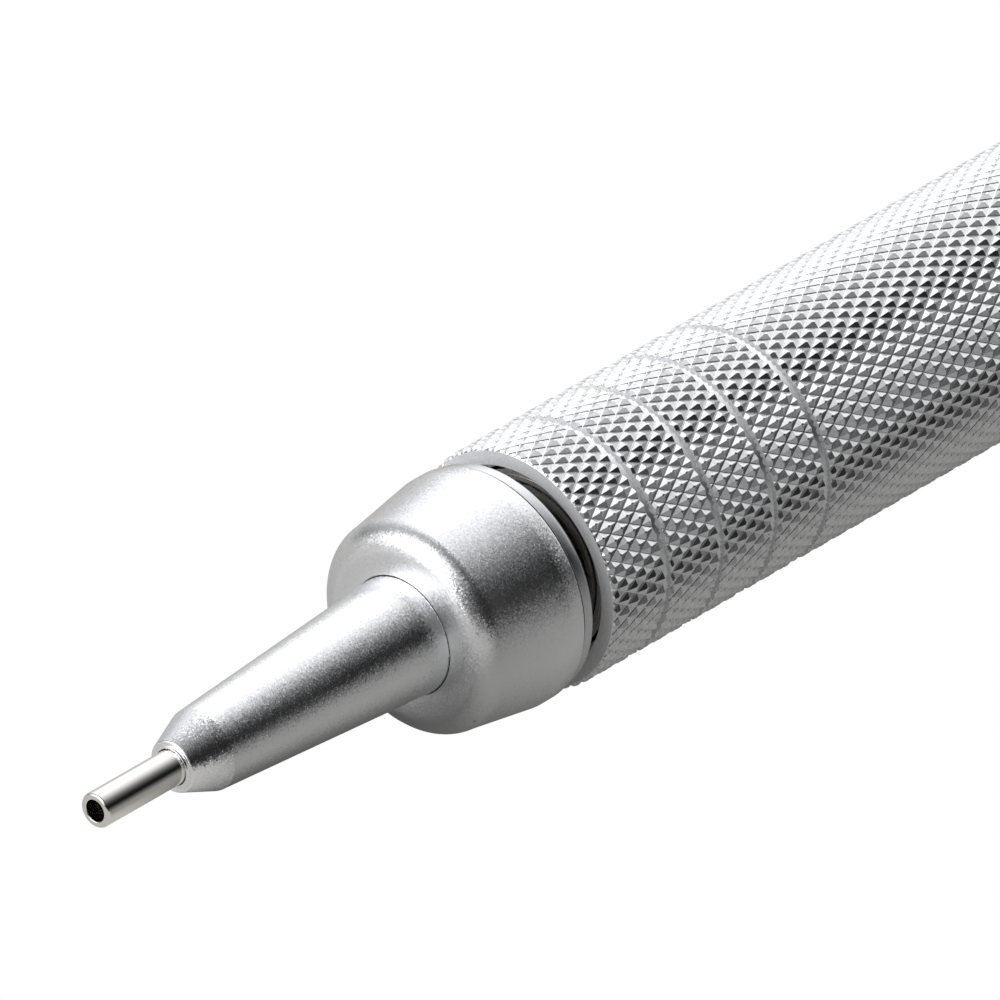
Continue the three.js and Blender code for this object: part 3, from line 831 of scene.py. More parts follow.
@dataclass
class Grip:
    """The knurled grip: one closed skin made of knurled bands, turned grooves and a bored body.

    Attributes:
        shop: Takes the finished piece.
        teeth_around: Teeth in a ring.
        row_pitch: Distance from one ring of teeth to the next.
        knurl_depth: Depth at the foot of a tooth's flanks.
        crest: The crest's share of a tooth.
        foot: Share of a tooth that its flanks end at.
        root: Share at which the sharper root begins, and its depth.
        first_row: Place of the first ring of teeth.
        bands: Front and rear of each knurled band.
        groove_depth: Depth of the ring grooves.
        groove_corner: Slope of the grooves' front walls.
        chamfer: Length and drop of the front edge's chamfer.
        counterbore: Radius of the opening behind the front face, and place of its floor.
        seat_radius: Bore that the drive sleeve turns in.
        ring_room: Room before and behind the friction ring in its groove.
        flange_floor: Rear of the room for the core tube's flange.
        sides: Sides of the bored body.
    """

    shop: Workshop
    teeth_around: int = 52
    row_pitch: float = 0.465
    knurl_depth: float = 0.092
    crest: float = 0.16
    foot: float = 0.88
    root: tuple[float, float] = (0.965, 0.122)
    first_row: float = 21.70
    bands: tuple = ((21.5, 23.98), (24.37, 26.76), (27.12, 29.51), (29.88, 32.26), (32.64, 61.7))
    groove_depth: float = 0.15
    groove_corner: float = 0.05
    chamfer: tuple[float, float] = (0.04, 0.02)
    counterbore: tuple[float, float] = (3.8, 22.3)
    seat_radius: float = 3.46
    ring_room: float = 0.23
    flange_floor: float = 30.0
    sides: int = 208

    def build(self) -> None:
        """Builds the grip."""
        seat = SPINDLE.seat("knurled_grip")
        tooth = self._tooth(seat.radius)
        bm = self._knurl(tooth, seat)
        self._cut_bands(bm, seat)
        loops = self._walls(bm, seat)
        self._body(bm, loops, seat)
        piece = finish_mesh("diamond_knurled_grip", bm, 22.0)
        self.shop.hand_over(piece, "knurled_grip")

    def _tooth(self, radius: float) -> bpy.types.Object:
        """Makes one tooth of the knurl about the axis, standing at the top: crest, four flanks and the
        sharper root between it and its neighbours."""
        half = math.pi / self.teeth_around
        floor = radius - self.root[1]
        bm = bmesh.new()
        loops = []
        for share, height in ((self.crest, radius), (self.foot, radius - self.knurl_depth),
                              (self.root[0], floor), (1.0, floor)):
            loop = []
            for along, around in ((share, 0), (0, share), (-share, 0), (0, -share)):
                angle = around * half
                spot = Vector((along * self.row_pitch, -height * math.sin(angle), height * math.cos(angle)))
                loop.append(bm.verts.new(spot * MM))
            loops.append(loop)
        bm.faces.new(loops[0])
        for inner, outer in zip(loops, loops[1:]):
            for k in range(4):
                bm.faces.new((inner[k], outer[k], outer[(k + 1) % 4], inner[(k + 1) % 4]))
        data = bpy.data.meshes.new("knurl_tooth")
        bm.to_mesh(data)
        bm.free()
        tooth = bpy.data.objects.new("knurl_tooth", data)
        bpy.context.scene.collection.objects.link(tooth)
        return tooth

    @staticmethod
    def _knurl_tree() -> bpy.types.NodeTree:
        """Writes the tree that repeats a tooth in staggered rings and welds the rings to one sheet."""
        writer, given, end = group_tree("diamond_knurl", "GeometryNodeTree", {
            "Geometry": (GEOMETRY, None), "Rings": ("NodeSocketInt", 10), "Teeth": ("NodeSocketInt", 52),
            "Pitch": (FLOAT, 0.001), "First": (VECTOR, (0.0, 0.0, 0.0)), "Material": (MATERIAL, None)},
            {"Geometry": GEOMETRY})
        index = writer.add("GeometryNodeInputIndex").outputs[0]
        ring = writer.math("FLOOR", writer.math("DIVIDE", writer.math("ADD", index, 0.5), given["Teeth"]))
        tooth = writer.math("SUBTRACT", index, writer.math("MULTIPLY", ring, given["Teeth"]))
        stagger = writer.math("MULTIPLY", writer.math("MODULO", ring, 2.0), 0.5)
        step = writer.math("DIVIDE", 2 * math.pi, given["Teeth"])
        angle = writer.math("MULTIPLY", writer.math("ADD", tooth, stagger), step)
        along = writer.add("ShaderNodeCombineXYZ", {0: writer.math("MULTIPLY", ring, given["Pitch"])})
        spot = writer.add("ShaderNodeVectorMath", {0: given["First"], 1: along.outputs[0]}, operation="ADD")
        count = writer.math("MULTIPLY", given["Rings"], given["Teeth"])
        points = writer.add("GeometryNodePoints", {"Count": count, "Position": spot.outputs[0]})
        turn = writer.add("ShaderNodeCombineXYZ", {0: angle})
        copies = writer.add("GeometryNodeInstanceOnPoints", {
            "Points": points.outputs[0], "Instance": given["Geometry"], "Rotation": turn.outputs[0]})
        real = writer.add("GeometryNodeRealizeInstances", {0: copies.outputs[0]})
        weld = writer.add("GeometryNodeMergeByDistance", {"Geometry": real.outputs[0], "Distance": 2e-7})
        dress = writer.add("GeometryNodeSetMaterial", {
            "Geometry": weld.outputs[0], "Material": given["Material"]})
        writer.fill(end, {0: dress.outputs[0]})
        return writer.tree

    def _knurl(self, tooth: bpy.types.Object, seat: Seat) -> bmesh.types.BMesh:
        """Repeats the tooth over the grip's whole length.

        Args:
            tooth: One tooth, which is removed.
            seat: The grip's room.

        Returns:
            The welded sheet, which reaches past both ends of the grip.
        """
        lead_in = 2
        first = self.first_row - lead_in * self.row_pitch
        rings = math.ceil((seat.rear - first) / self.row_pitch) + 2
        values = {"Rings": rings, "Teeth": self.teeth_around, "Pitch": self.row_pitch * MM,
                  "First": SPINDLE.point(first), "Material": self.shop.materials["bright_aluminium"]}
        data = grown(tooth, self._knurl_tree(), values)
        bm = bmesh.new()
        bm.from_mesh(data)
        bm.verts.layers.float.new("edge")
        bpy.data.meshes.remove(data)
        bpy.data.objects.remove(tooth)
        return bm

    def _cut_bands(self, bm: bmesh.types.BMesh, seat: Seat) -> None:
        """Cuts the sheet square at each band's ends, bevels its front and takes the grooves out."""
        front = self.bands[0][0]
        bevel = [front + self.chamfer[0] * k / 5 for k in range(1, 6)]
        for place in [*(p for band in self.bands for p in band), *bevel]:
            bmesh.ops.bisect_plane(bm, geom=bm.verts[:] + bm.edges[:] + bm.faces[:], dist=1e-8,
                                   plane_co=SPINDLE.point(place), plane_no=(1, 0, 0))
        gone = []
        for face in bm.faces:
            place = (face.calc_center_median().x - SPINDLE.tip) / MM
            if not any(start < place < end for start, end in self.bands):
                gone.append(face)
        bmesh.ops.delete(bm, geom=gone, context="FACES")
        length, drop = self.chamfer
        for vertex in bm.verts:
            place = (vertex.co.x - SPINDLE.tip) / MM
            limit = seat.radius - drop * max(0.0, 1 - (place - front) / length)
            self._draw_in(vertex, limit)

    @staticmethod
    def _draw_in(vertex: bmesh.types.BMVert, limit: float) -> None:
        """Moves a vertex towards the axis if it is further from it than the limit."""
        across = Vector((0.0, vertex.co.y - SPINDLE.y, vertex.co.z - SPINDLE.z))
        if across.length > limit * MM:
            vertex.co -= across * (1 - limit * MM / across.length)

    def _loop_at(self, bm: bmesh.types.BMesh, place: float) -> list[bmesh.types.BMVert]:
        """Finds the open edge of the sheet at a place, sorted by angle about the axis."""
        x = SPINDLE.point(place).x
        found = [v for v in bm.verts if v.is_boundary and abs(v.co.x - x) < 2e-7]
        return sorted(found, key=self._angle)

    @staticmethod
    def _angle(vertex: bmesh.types.BMVert) -> float:
        """Gives a vertex's angle about the axis."""
        return math.atan2(SPINDLE.y - vertex.co.y, vertex.co.z - SPINDLE.z)

    def _step_in(self, bm: bmesh.types.BMesh, loop: list, place: float, radius: float) -> list:
        """Adds a ring at another place and radius with the loop's own angles, and joins the two."""
        inner = [bm.verts.new(SPINDLE.point(place, radius, self._angle(v))) for v in loop]
        join_rings(bm, loop, inner)
        return inner

    def _zip(self, bm: bmesh.types.BMesh, first: list, second: list) -> None:
        """Joins two loops of unlike counts with triangles, in order of their angles."""
        first = sorted(first, key=self._angle)
        second = sorted(second, key=self._angle)
        a_angles = [self._angle(v) for v in first] + [self._angle(first[0]) + 2 * math.pi]
        b_angles = [self._angle(v) for v in second] + [self._angle(second[0]) + 2 * math.pi]
        i = j = 0
        while i < len(first) or j < len(second):
            a, b = first[i % len(first)], second[j % len(second)]
            if j >= len(second) or (i < len(first) and a_angles[i + 1] <= b_angles[j + 1]):
                bm.faces.new((a, b, first[(i + 1) % len(first)]))
                i += 1
            else:
                bm.faces.new((a, b, second[(j + 1) % len(second)]))
                j += 1

    def _walls(self, bm: bmesh.types.BMesh, seat: Seat) -> tuple[list, list]:
        """Closes the grooves between the bands: two walls and a smooth floor in each.

        Args:
            bm: The knurled bands.
            seat: The grip's room.

        Returns:
            The open loops at the grip's front and rear.
        """
        floor = seat.radius - self.groove_depth
        corner = self.groove_corner
        for before, after in zip(self.bands, self.bands[1:]):
            front = self._step_in(bm, self._loop_at(bm, before[1]), before[1] + corner, floor)
            rear = self._step_in(bm, self._loop_at(bm, after[0]), after[0] - corner * 0.3, floor - 0.02)
            self._zip(bm, front, rear)
        return self._loop_at(bm, self.bands[0][0]), self._loop_at(bm, self.bands[-1][1])

    def _body(self, bm: bmesh.types.BMesh, loops: tuple[list, list], seat: Seat) -> None:
        """Adds the faces, the counterbore with its seats, and the bore, and joins them to the knurl."""
        face_edge = seat.radius - self.root[1] - 0.02
        opening, floor = self.counterbore
        seal = SPINDLE.seat("friction_o_ring")
        before, after, groove = seal.front - self.ring_room, seal.rear + self.ring_room, seal.radius + CLEAR
        flange = SPINDLE.seat("core_tube").radius + CLEAR
        stop = SPINDLE.seat("drive_sleeve").rear - 1.05
        section = [
            (seat.front, face_edge), (seat.front, opening, 0.06), (floor, opening, 0.05),
            (floor, self.seat_radius, 0.05), (before, self.seat_radius), (before, groove), (after, groove),
            (after, self.seat_radius), (stop, self.seat_radius), (stop, flange), (self.flange_floor, flange),
            (self.flange_floor, seat.bore), (seat.rear, seat.bore, 0.1),
            (seat.rear, seat.radius - 0.35, 0.1), (seat.rear - 0.2, seat.radius - self.groove_depth)]
        rings = lathe_rings(bm, rounded(section, False), self.sides)
        for first, second in zip(rings, rings[1:]):
            join_rings(bm, first, second)
        self._zip(bm, loops[0], rings[0])
        self._zip(bm, loops[1], rings[-1])


@dataclass
class Mechanism:
    """What the button pushes: the chuck and its clutch ring, the connector, the lead tube and the spring."""

    shop: Workshop
    chuck_bore: float = 1.22
    chamber: tuple[float, float] = (26.6, 2.35)
    core_neck: float = 1.5
    core_body: Corner = (28.4, 2.95)
    connector_radius: float = 1.16
    connector_flange: float = 44.0
    funnel: Corner = (38.0, 1.1)
    cap_seat: float = 128.5
    tube_radius: float = 1.9
    spring_turns: float = 10.0
    spring_wire: float = 0.18
    spring_radius: float = 1.78

    def build(self) -> None:
        """Builds the six pieces."""
        self._core_tube()
        self.shop.keep("chuck")
        self._clutch_ring()
        self._connector()
        self._lead_tube()
        self._spring()

    def _core_tube(self) -> None:
        """Brass tube that carries everything: thin front, flange, body and spring chamber."""
        seat = SPINDLE.seat("core_tube")
        flange = SPINDLE.seat("drive_sleeve").rear + CLEAR
        step, body = self.core_body
        self.shop.turn("core_tube", "brass_core_tube", [
            (seat.front, self.core_neck, 0.04), (flange, self.core_neck), (flange, seat.radius, 0.1),
            (step, seat.radius, 0.1), (step, body), (seat.rear, body, 0.1),
            (seat.rear, self.chamber[1], 0.1), self.chamber,
            (self.chamber[0], self.chuck_bore), (seat.front, self.chuck_bore)], Fineness.OUTER)

    def _clutch_ring(self) -> None:
        """Brass ring that squeezes the chuck's jaws."""
        seat = SPINDLE.seat("clutch_ring")
        self.shop.turn("clutch_ring", "brass_clutch_ring", [
            (seat.front, seat.radius, 0.05), (seat.rear, seat.radius, 0.05), (seat.rear, seat.bore, 0.03),
            (seat.front + 0.38, seat.bore), (seat.front, seat.bore + 0.08)])

    def _connector(self) -> None:
        """Plastic rod between chuck and lead tube, with the spring's rear seat and a funnel."""
        seat = SPINDLE.seat("chuck_connector")
        rod, flange = self.connector_radius, self.connector_flange
        self.shop.turn("chuck_connector", "chuck_to_tube_connector", [
            (seat.front, rod, 0.08), (flange, rod), (flange, seat.radius, 0.05),
            (seat.rear, seat.radius, 0.05), (seat.rear, self.funnel[1], 0.1),
            (self.funnel[0], seat.bore, 0.5), (seat.front, seat.bore)])

    def _lead_tube(self) -> None:
        """Long plastic tube for the spare leads, with a thick rear end that the cap is pushed onto."""
        seat = SPINDLE.seat("lead_tube")
        snap = seat.rear - 2.2
        self.shop.turn("lead_tube", "spare_lead_tube", [
            (seat.front, self.tube_radius, 0.06), (self.cap_seat - 0.5, self.tube_radius),
            (self.cap_seat, seat.radius, 0.1), (snap, seat.radius), (snap + 0.2, seat.radius - 0.12),
            (snap + 0.6, seat.radius - 0.12), (snap + 0.8, seat.radius), (seat.rear, seat.radius, 0.15),
            (seat.rear, seat.bore, 0.1), (seat.front, seat.bore, 0.05)])

    @staticmethod
    def _spring_tree() -> bpy.types.NodeTree:
        """Writes the tree that winds a round wire along the pencil's axis."""
        writer, given, end = group_tree("wound_wire", "GeometryNodeTree", {
            "Geometry": (GEOMETRY, None), "Turns": (FLOAT, 10.0), "Radius": (FLOAT, 0.001),
            "Length": (FLOAT, 0.01), "Wire": (FLOAT, 0.0002), "Front": (VECTOR, (0.0, 0.0, 0.0)),
            "Material": (MATERIAL, None)}, {"Geometry": GEOMETRY})
        line = writer.add("GeometryNodeCurveSpiral", {
            "Resolution": 36, "Rotations": given["Turns"], "Start Radius": given["Radius"],
            "End Radius": given["Radius"], "Height": given["Length"]})
        section = writer.add("GeometryNodeCurvePrimitiveCircle", {"Resolution": 12, "Radius": given["Wire"]})
        wire = writer.add("GeometryNodeCurveToMesh", {
            "Curve": line.outputs[0], "Profile Curve": section.outputs[0], "Fill Caps": True})
        laid = writer.add("GeometryNodeTransform", {
            "Geometry": wire.outputs[0], "Translation": given["Front"], "Rotation": (0.0, math.pi / 2, 0.0)})
        real = writer.add("GeometryNodeRealizeInstances", {0: laid.outputs[0]})
        dress = writer.add("GeometryNodeSetMaterial", {
            "Geometry": real.outputs[0], "Material": given["Material"]})
        writer.fill(end, {0: dress.outputs[0]})
        return writer.tree

    def _spring(self) -> None:
        """Return spring round the connector, which shortens as the button is pushed."""
        front = self.chamber[0] + self.spring_wire + CLEAR
        rear = self.connector_flange - self.spring_wire - CLEAR
        seed = bpy.data.objects.new("spring_seed", bpy.data.meshes.new("spring_seed"))
        bpy.context.scene.collection.objects.link(seed)
        data = grown(seed, self._spring_tree(), {
            "Turns": self.spring_turns, "Radius": self.spring_radius * MM, "Length": (rear - front) * MM,
            "Wire": self.spring_wire * MM, "Front": SPINDLE.point(front),
            "Material": self.shop.materials["spring_steel"]})
        bpy.data.objects.remove(seed)
        bm = bmesh.new()
        bm.from_mesh(data)
        bpy.data.meshes.remove(data)
        piece = finish_mesh("return_spring", bm, 60.0)
        self.shop.hand_over(piece, "chuck_spring")
        SPINDLE.point(self.chamber[0])
        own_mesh(piece)


@dataclass
class Barrel:
    """The rear body: joint ring, barrel, bush, tail ring, and the pocket clip on its band."""

    shop: Workshop
    thread: tuple[float, float] = (3.55, 3.6)
    clip_edge: float = 0.2
    clip_flat: float = 6.35

    def build(self) -> None:
        """Builds the six pieces."""
        self._rings()
        self._barrel()
        self._clip_band()
        self._clip_arm()

    def _rings(self) -> None:
        """Polished joint ring between grip and barrel, tail ring at the rear, and the bush inside."""
        seat = SPINDLE.seat("joint_ring")
        waist = (seat.front + seat.rear) / 2
        line = turned_line(waist - 0.25, seat.radius, 0.5, 0.12, 0.05, 0.1)
        self.shop.turn("joint_ring", "grip_joint_ring", [
            (seat.front, seat.radius - 0.15, 0.05), (seat.front + 0.25, seat.radius, 0.12), *line,
            (seat.rear - 0.25, seat.radius, 0.12), (seat.rear, seat.radius - 0.15, 0.05),
            (seat.rear, seat.bore), (seat.front, seat.bore)], Fineness.OUTER)
        seat = SPINDLE.seat("tail_ring")
        thread_end = SPINDLE.seat("barrel").rear + CLEAR
        self.shop.turn("tail_ring", "threaded_tail_ring", [
            (seat.front, seat.radius, 0.08), (seat.rear - 0.6, seat.radius - 0.1, 0.3),
            (seat.rear, seat.radius - 0.5, 0.15), (seat.rear, seat.bore, 0.1), (thread_end, seat.bore),
            (thread_end, self.thread[1]), (seat.front, self.thread[1])], Fineness.OUTER)
        seat = SPINDLE.seat("guide_bush")
        self.shop.turn("guide_bush", "lead_tube_bush", plain_ring(seat, 0.1, 0.1))

    def _barrel(self) -> None:
        """Satin tube with a turned line near its front, a seat for the band and a thread behind it."""
        seat = SPINDLE.seat("barrel")
        band = SPINDLE.seat("clip_band")
        thread, under_band = self.thread[0], band.bore - CLEAR
        before, after = band.front - CLEAR, band.rear + CLEAR
        self.shop.turn("barrel", "satin_barrel", [
            (seat.front, seat.radius, 0.12), *turned_line(seat.front + 2.0, seat.radius, 0.3, 0.08),
            (before, seat.radius, 0.1), (before, under_band), (after, under_band), (after, thread),
            (seat.rear, thread, 0.15), (seat.rear, seat.bore), (seat.front, seat.bore)], Fineness.OUTER)

    def _clip_band(self) -> None:
        """Polished band that holds the clip."""
        seat = SPINDLE.seat("clip_band")
        self.shop.turn("clip_band", "clip_holding_band", plain_ring(seat, 0.15, 0.03), Fineness.OUTER)

    def _clip_arm(self) -> None:
        """Bent spring strip with rolled edges, a bead that bears on the barrel and a turned-up tip."""
        width_way = Vector(next(j for j in frame["joints"] if j["name"] == "clip_flex")["axis"])
        out_way = Vector((0.0, -width_way.z, width_way.y))
        box = SPINDLE.seat("clip_arm")
        band = SPINDLE.seat("clip_band")
        foot = band.radius + 0.05
        tip = box.front
        root = band.front + 0.45
        outline = rounded([
            (box.rear, foot, 0.06), (box.rear, self.clip_flat, 0.8), (tip + 5.0, self.clip_flat - 0.08, 4.0),
            (tip + 2.3, 5.3, 1.6), (tip + 0.3, 6.5, 0.22), (tip, 6.2, 0.2), (tip + 1.6, 4.55, 0.6),
            (tip + 2.8, 4.55, 0.6), (tip + 5.3, 5.65, 2.5), (root, 5.75, 0.5), (root, foot, 0.1)], True)
        spots = [Vector(p[:2]) for p in outline]
        count = len(spots)
        inward = []
        for k in range(count):
            along = (spots[(k + 1) % count] - spots[k - 1]).normalized()
            inward.append(Vector((along.y, -along.x)))
        if sum(a.x * b.y - a.y * b.x for a, b in zip(spots, spots[1:] + spots[:1])) > 0:
            inward = [-way for way in inward]
        half = self._clip_width(width_way) / 2
        steps = 4
        layers = [(math.pi / 2 * k / steps) for k in range(steps + 1)]
        sections = [(-half + self.clip_edge * (1 - math.sin(a)), self.clip_edge * (1 - math.cos(a)))
                    for a in reversed(layers)]
        profile = sorted({(round(z, 6), round(i, 6)) for z, i in sections})
        profile = profile + [(-z, i) for z, i in reversed(profile)]
        bm = bmesh.new()
        marks = bm.verts.layers.float.new("edge")
        rings = []
        for shift, inset in profile:
            ring = []
            for spot, way in zip(spots, inward):
                place, radius = spot + way * inset
                point = SPINDLE.point(place) + out_way * radius * MM + width_way * shift * MM
                ring.append(bm.verts.new(point))
                ring[-1][marks] = 0.0 if inset in (0.0, self.clip_edge) else 1.0
            rings.append(ring)
        for first, second in zip(rings, rings[1:]):
            join_rings(bm, first, second)
        for ring in (rings[0], rings[-1]):
            cap = bm.faces.new(ring)
            bmesh.ops.triangulate(bm, faces=[cap])
        self.shop.hand_over(finish_mesh("pocket_clip", bm), "clip_arm")

    @staticmethod
    def _clip_width(width_way: Vector) -> float:
        """Measures the frame's clip across its width, in millimetres."""
        reach = [v.co.dot(width_way) for v in frame["nodes"]["clip_arm"].data.vertices]
        return (max(reach) - min(reach)) / MM


@dataclass
class Button:
    """The push cap and, under it, the eraser in its holder with the cleaning pin."""

    shop: Workshop
    head_front: float = 137.2
    skirt_radius: float = 2.95
    cup_floor: float = 136.8
    pin_hole: Corner = (134.6, 0.9)

    def build(self) -> None:
        """Builds the four pieces."""
        self._cap()
        self._eraser()

    def _cap(self) -> None:
        """Bright cap: a skirt that goes into the tail ring and a wider head with two turned lines."""
        seat = SPINDLE.seat("button_cap")
        bore = SPINDLE.seat("lead_tube").radius + CLEAR
        roof = seat.rear - 1.5
        corners = [(seat.front, self.skirt_radius, 0.06), (self.head_front, self.skirt_radius, 0.1),
                   (self.head_front, seat.radius, 0.25)]
        for line in (self.head_front + 1.4, self.head_front + 2.2):
            corners += turned_line(line, seat.radius, 0.35, 0.1)
        corners += [(seat.rear - 0.5, seat.radius, 0.3), (seat.rear, seat.radius - 0.5, 0.3),
                    (seat.rear, 0.0)]
        corners = [(roof, 0.0), (roof, bore, 0.2), (seat.front, bore, 0.1), *corners]
        self.shop.turn("button_cap", "push_button_cap", corners, Fineness.OUTER)

    def _eraser(self) -> None:
        """Steel holder, white eraser with a slightly crowned end, and the pin for a blocked sleeve."""
        holder = SPINDLE.seat("eraser_holder")
        eraser = SPINDLE.seat("eraser")
        tube = SPINDLE.seat("lead_tube")
        stop, plug, cup = tube.rear + CLEAR, tube.bore - CLEAR, eraser.radius + CLEAR
        waist, floor, hole = holder.radius - 0.06, self.cup_floor, self.pin_hole
        self.shop.turn("eraser_holder", "eraser_holder_cup", [
            (holder.front, plug, 0.1), (stop, plug), (stop, holder.radius, 0.12),
            (holder.rear - 1.4, holder.radius), (holder.rear - 1.1, waist, 0.3),
            (holder.rear - 0.6, waist, 0.3), (holder.rear, holder.radius, 0.1), (holder.rear, cup, 0.05),
            (floor, cup), (floor, hole[1]), hole, (hole[0], holder.bore), (holder.front, holder.bore)])
        self.shop.turn("eraser", "white_eraser_stub", [
            (eraser.front, 0.0), (eraser.front, eraser.radius, 0.1), (eraser.rear - 0.6, eraser.radius, 0.5),
            (eraser.rear, eraser.radius - 0.7, 0.5), (eraser.rear, 0.0)])
        pin = SPINDLE.seat("cleaning_pin")
        self.shop.turn("cleaning_pin", "cleaning_needle", [
            (pin.front, 0.0), (pin.front + 0.4, pin.radius, 0.3), (pin.rear, pin.radius, 0.03),
            (pin.rear, 0.0)], Fineness.SMALL)


@dataclass
class Leads:
    """The lead in use and the three spare leads."""

    shop: Workshop
    broken_end: float = 0.05

    def build(self) -> None:
        """Builds each lead about its own axis."""
        for node in ("lead", "spare_lead_1", "spare_lead_2", "spare_lead_3"):
            low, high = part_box(node)
            middle = (low + high) / 2
            radius = SPINDLE.seat("lead").radius
            front = (low.x - SPINDLE.tip) / MM
            rear = (high.x - SPINDLE.tip) / MM
            self.shop.turn(node, f"graphite_{node}", [
                (front, 0.0), (front, radius, self.broken_end), (rear, radius, self.broken_end),
                (rear, 0.0)], Fineness.SMALL, middle)


# ---- Studio ------------------------------------------------------


Steps = tuple[tuple[float, float], ...]


def radians(span: tuple[float, float]) -> tuple[float, float]:
    """Turns both ends of a span from degrees into radians."""
    return math.radians(span[0]), math.radians(span[1])


@dataclass
class Studio:
    """A white floor that carries a painted shadow for what the metal mirrors, soft strip lights along the pencil,
    and the camera.

    Attributes:
        azimuth: Side that the camera stands on, in degrees.
        elevation: Height of the camera, in degrees.
        picture: Width of what the camera takes in, in millimetres.
        lens: Focal length, in millimetres.
        target: Place on the axis, and the shifts right and up in the picture from the middle to it.
        strips: Light from each direction about the pencil: degrees from straight up towards -Y, and level.
        painted_floor_shadow: Painted shadow of the pencil in the floor's glow that the metal mirrors: distance
            from the pencil towards +Y, in millimetres, and level there.
        rearwards: How far towards the pencil's rear a direction points, and share of the strips' light.
        shaped_about: Degrees between which that share takes over from the plain one.
        plain: The plain share: how far rearwards a direction points, and the share there.
        forwards: Share of it that is added from the front.
        front_along: How far forwards a direction points where that addition starts and is full.
        cool: Tint of the strips.
        card_along: How far rearwards a direction points where the white card behind starts and is full.
        card_about: Degrees about the pencil where the same card starts and is full.
        card_level: Strength of the card.
        ahead: Places on the floor between which the painted shadow gives way to an even light in front of the
            pencil.
        floor_ahead: Colour of that even light.
        floor_tint: Tint of the floor's light elsewhere.
        floor_reach: Half of the floor's width, in metres.
        floor_drop: How far the floor lies under the pencil, in metres.
    """

    azimuth: float = -48.30
    elevation: float = 30.635
    picture: float = 34.18
    lens: float = 1650.0
    target: tuple[float, float, float] = (29.84, 6.168, 0.846)
    strips: Steps = (
        (-92, 0.55), (-80, 0.76), (-68, 1.15), (-44, 1.6), (-20, 1.4), (-8, 1.12), (4, 0.88), (16, 0.58),
        (28, 0.29), (40, 0.12), (52, 0.04), (60, 0.012), (72, 0.012), (84, 0.1), (90, 0.17))
    painted_floor_shadow: Steps = (
        (-60, 0.18), (-25, 0.26), (-11, 0.29), (-6.7, 0.3), (-4.3, 0.25), (-2.8, 0.18), (-1.6, 0.13),
        (-0.6, 0.115), (0.5, 0.1), (1.6, 0.09), (5, 0.45), (9, 0.45), (25, 0.5), (60, 0.6))
    rearwards: Steps = (
        (-0.1, 0.3), (0.05, 0.36), (0.19, 1.25), (0.28, 1.35), (0.38, 0.82), (0.52, 0.92), (0.7, 1.0))
    shaped_about: tuple[float, float] = (-50, -8)
    plain: tuple[tuple[float, float], tuple[float, float]] = ((-0.1, 0.64), (0.3, 1.0))
    forwards: float = 1.4
    front_along: tuple[float, float] = (-0.3, -0.7)
    cool: tuple[float, float, float] = (0.975, 0.975, 1.0)
    card_along: tuple[float, float] = (0.68, 0.88)
    card_about: tuple[float, float] = (78, 48)
    card_level: float = 0.8
    ahead: tuple[float, float] = (7.5, 4.0)
    floor_ahead: tuple[float, float, float] = (0.5, 0.49, 0.48)
    floor_tint: tuple[float, float, float] = (1.0, 0.985, 0.965)
    floor_reach: float = 1.5
    floor_drop: float = 0.00002

    def build(self) -> None:
        """Sets the camera, the floor and the light."""
        bpy.context.scene.view_settings.view_transform = "Standard"
        self._camera()
        self._floor()
        self._world()

    def _camera(self) -> None:
        """Places a long lens at the side of the tip, looking along the pencil."""
        a, e = math.radians(self.azimuth), math.radians(self.elevation)
        back = Vector((math.sin(a) * math.cos(e), -math.cos(a) * math.cos(e), math.sin(e)))
        turn: Quaternion = (-back).to_track_quat("-Z", "Y")
        right, up = turn @ Vector((1, 0, 0)), turn @ Vector((0, 1, 0))
        place, across, above = self.target
        middle = SPINDLE.point(place) - right * across * MM - up * above * MM
        data = bpy.data.cameras.new("camera")
        data.lens = self.lens
        distance = self.picture * MM * self.lens / data.sensor_width
        data.clip_start, data.clip_end = distance / 100, distance * 20
        camera = bpy.data.objects.new("camera", data)
        bpy.context.scene.collection.objects.link(camera)
        camera.rotation_mode = "QUATERNION"
        camera.location = middle + back * distance
        camera.rotation_quaternion = turn
        bpy.context.scene.camera = camera

    def _floor(self) -> None:
        """White floor to the camera; for what the metal mirrors it glows with a painted shadow, light to grey
        under the pencil.
        """
        reach, under = self.floor_reach, -self.floor_drop
        data = bpy.data.meshes.new("floor")
        data.from_pydata([(-reach, -reach, under), (reach, -reach, under), (reach, reach, under),
                          (-reach, reach, under)], [], [(0, 1, 2, 3)])
        floor = bpy.data.objects.new("floor", data)
        bpy.context.scene.collection.objects.link(floor)
        material = bpy.data.materials.new("white_floor_painted_shadow")
        material.use_nodes = True
        writer = TreeWriter(material.node_tree)
        place = writer.add("ShaderNodeSeparateXYZ", {0: writer.add("ShaderNodeTexCoord").outputs["Object"]})
        # Painted shadow: the glow that the metal mirrors is grey under the pencil and light ahead of it and away
        # from it.
        start, end = self.painted_floor_shadow[0][0], self.painted_floor_shadow[-1][0]
        across = writer.math("SUBTRACT", writer.math("DIVIDE", place.outputs[1], MM), SPINDLE.y / MM)
        share = writer.range(across, (start, end), (0.0, 1.0))
        level = writer.ramp(share, [((y - start) / (end - start), tuple(v * t for t in self.floor_tint))
                                    for y, v in self.painted_floor_shadow])
        behind_tip = writer.math("SUBTRACT", writer.math("DIVIDE", place.outputs[0], MM), SPINDLE.tip / MM)
        ahead = writer.range(behind_tip, self.ahead, (0.0, 1.0))
        level = writer.mix(ahead, level, (*self.floor_ahead, 1.0))
        mirrored = writer.add("ShaderNodeEmission", {"Color": level})
        seen = writer.add("ShaderNodeEmission", {"Color": (1.0, 1.0, 1.0, 1.0)})
        writer.show(mirrored, seen, "ShaderNodeOutputMaterial")
        data.materials.append(material)

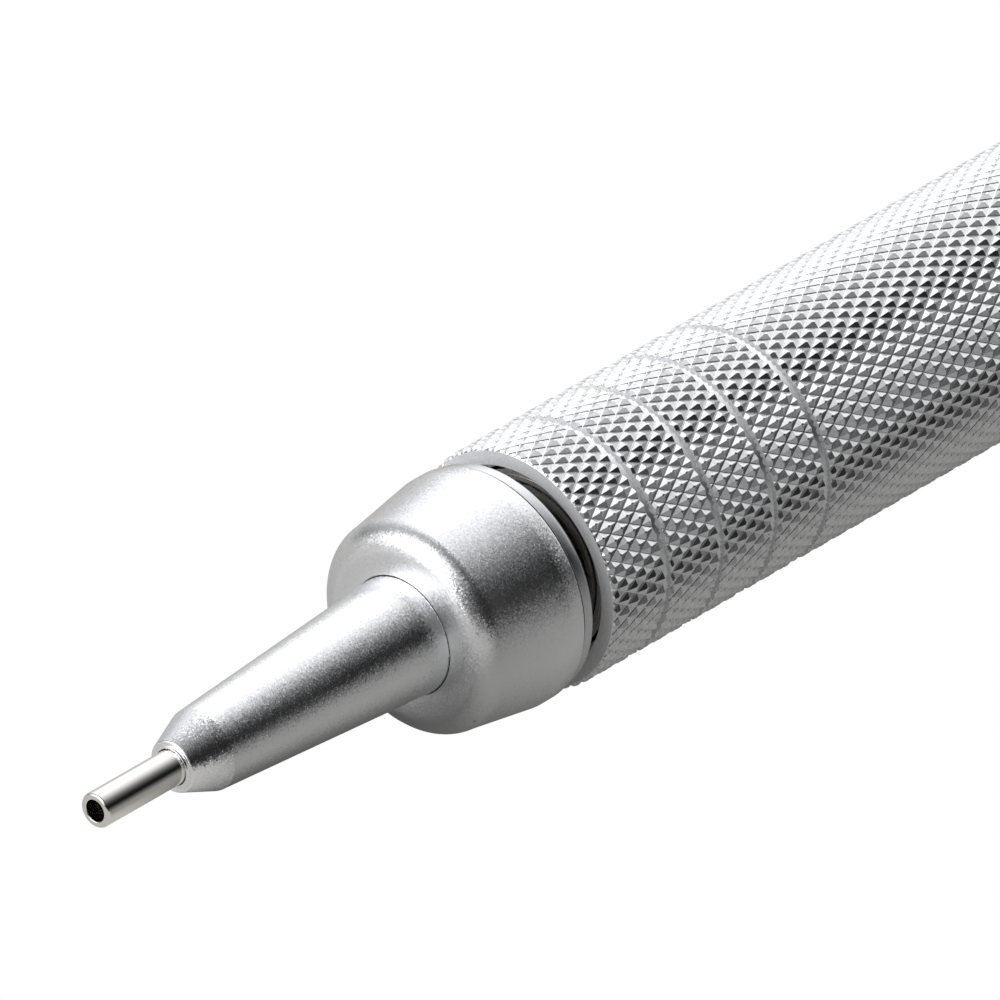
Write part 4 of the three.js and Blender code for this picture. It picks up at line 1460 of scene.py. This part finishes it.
    def _world(self) -> None:
        """White room whose light depends only on the direction about the pencil."""
        world = bpy.data.worlds.new("soft_room")
        world.use_nodes = True
        bpy.context.scene.world = world
        writer = TreeWriter(world.node_tree)
        way = writer.add("ShaderNodeSeparateXYZ", {0: writer.add("ShaderNodeTexCoord").outputs["Generated"]})
        about = writer.math("ARCTAN2", writer.math("MULTIPLY", way.outputs[1], -1.0), way.outputs[2])
        start, end = self.strips[0][0], self.strips[-1][0]
        share = writer.range(about, radians((start, end)), (0.0, 1.0))
        peak = max(v for _, v in self.strips)
        level = writer.ramp(share, [((d - start) / (end - start), tuple(v / peak * c for c in self.cool))
                                    for d, v in self.strips])
        behind = writer.math("MULTIPLY", writer.range(way.outputs[0], self.card_along, (0.0, 1.0)),
                             writer.range(about, radians(self.card_about), (0.0, 1.0)))
        white_here = (1 / peak, 1 / peak, 1 / peak, 1.0)
        level = writer.mix(writer.math("MULTIPLY", behind, self.card_level), level, white_here)
        low, high = self.rearwards[0][0], self.rearwards[-1][0]
        place = writer.range(way.outputs[0], (low, high), (0.0, 1.0))
        top = max(v for _, v in self.rearwards)
        share = writer.ramp(place, [((x - low) / (high - low), (v / top,) * 3) for x, v in self.rearwards])
        share = writer.math("MULTIPLY", share, top)
        plain = writer.range(way.outputs[0], *self.plain)
        side = writer.range(about, radians(self.shaped_about), (0.0, 1.0))
        shaped = writer.math("MULTIPLY", side, writer.math("SUBTRACT", share, plain))
        share = writer.math("ADD", plain, shaped)
        front = writer.range(way.outputs[0], self.front_along, (0.0, self.forwards))
        share = writer.math("ADD", share, front)
        strips = writer.add("ShaderNodeBackground", {
            "Color": level, "Strength": writer.math("MULTIPLY", share, peak)})
        white = writer.add("ShaderNodeBackground", {"Color": (1.0, 1.0, 1.0, 1.0), "Strength": 1.0})
        writer.show(strips, white, "ShaderNodeOutputWorld")


def main() -> None:
    logging.basicConfig(level=logging.INFO, format="%(message)s")
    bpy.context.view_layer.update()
    Studio().build()
    shop = Workshop()
    for assembly in (Nose, Shoulder, Grip, Mechanism, Barrel, Button, Leads):
        assembly(shop).build()
        LOG.info("%s is ready", assembly.__name__)
    bpy.context.view_layer.update()


if __name__ == "__main__":
    main()
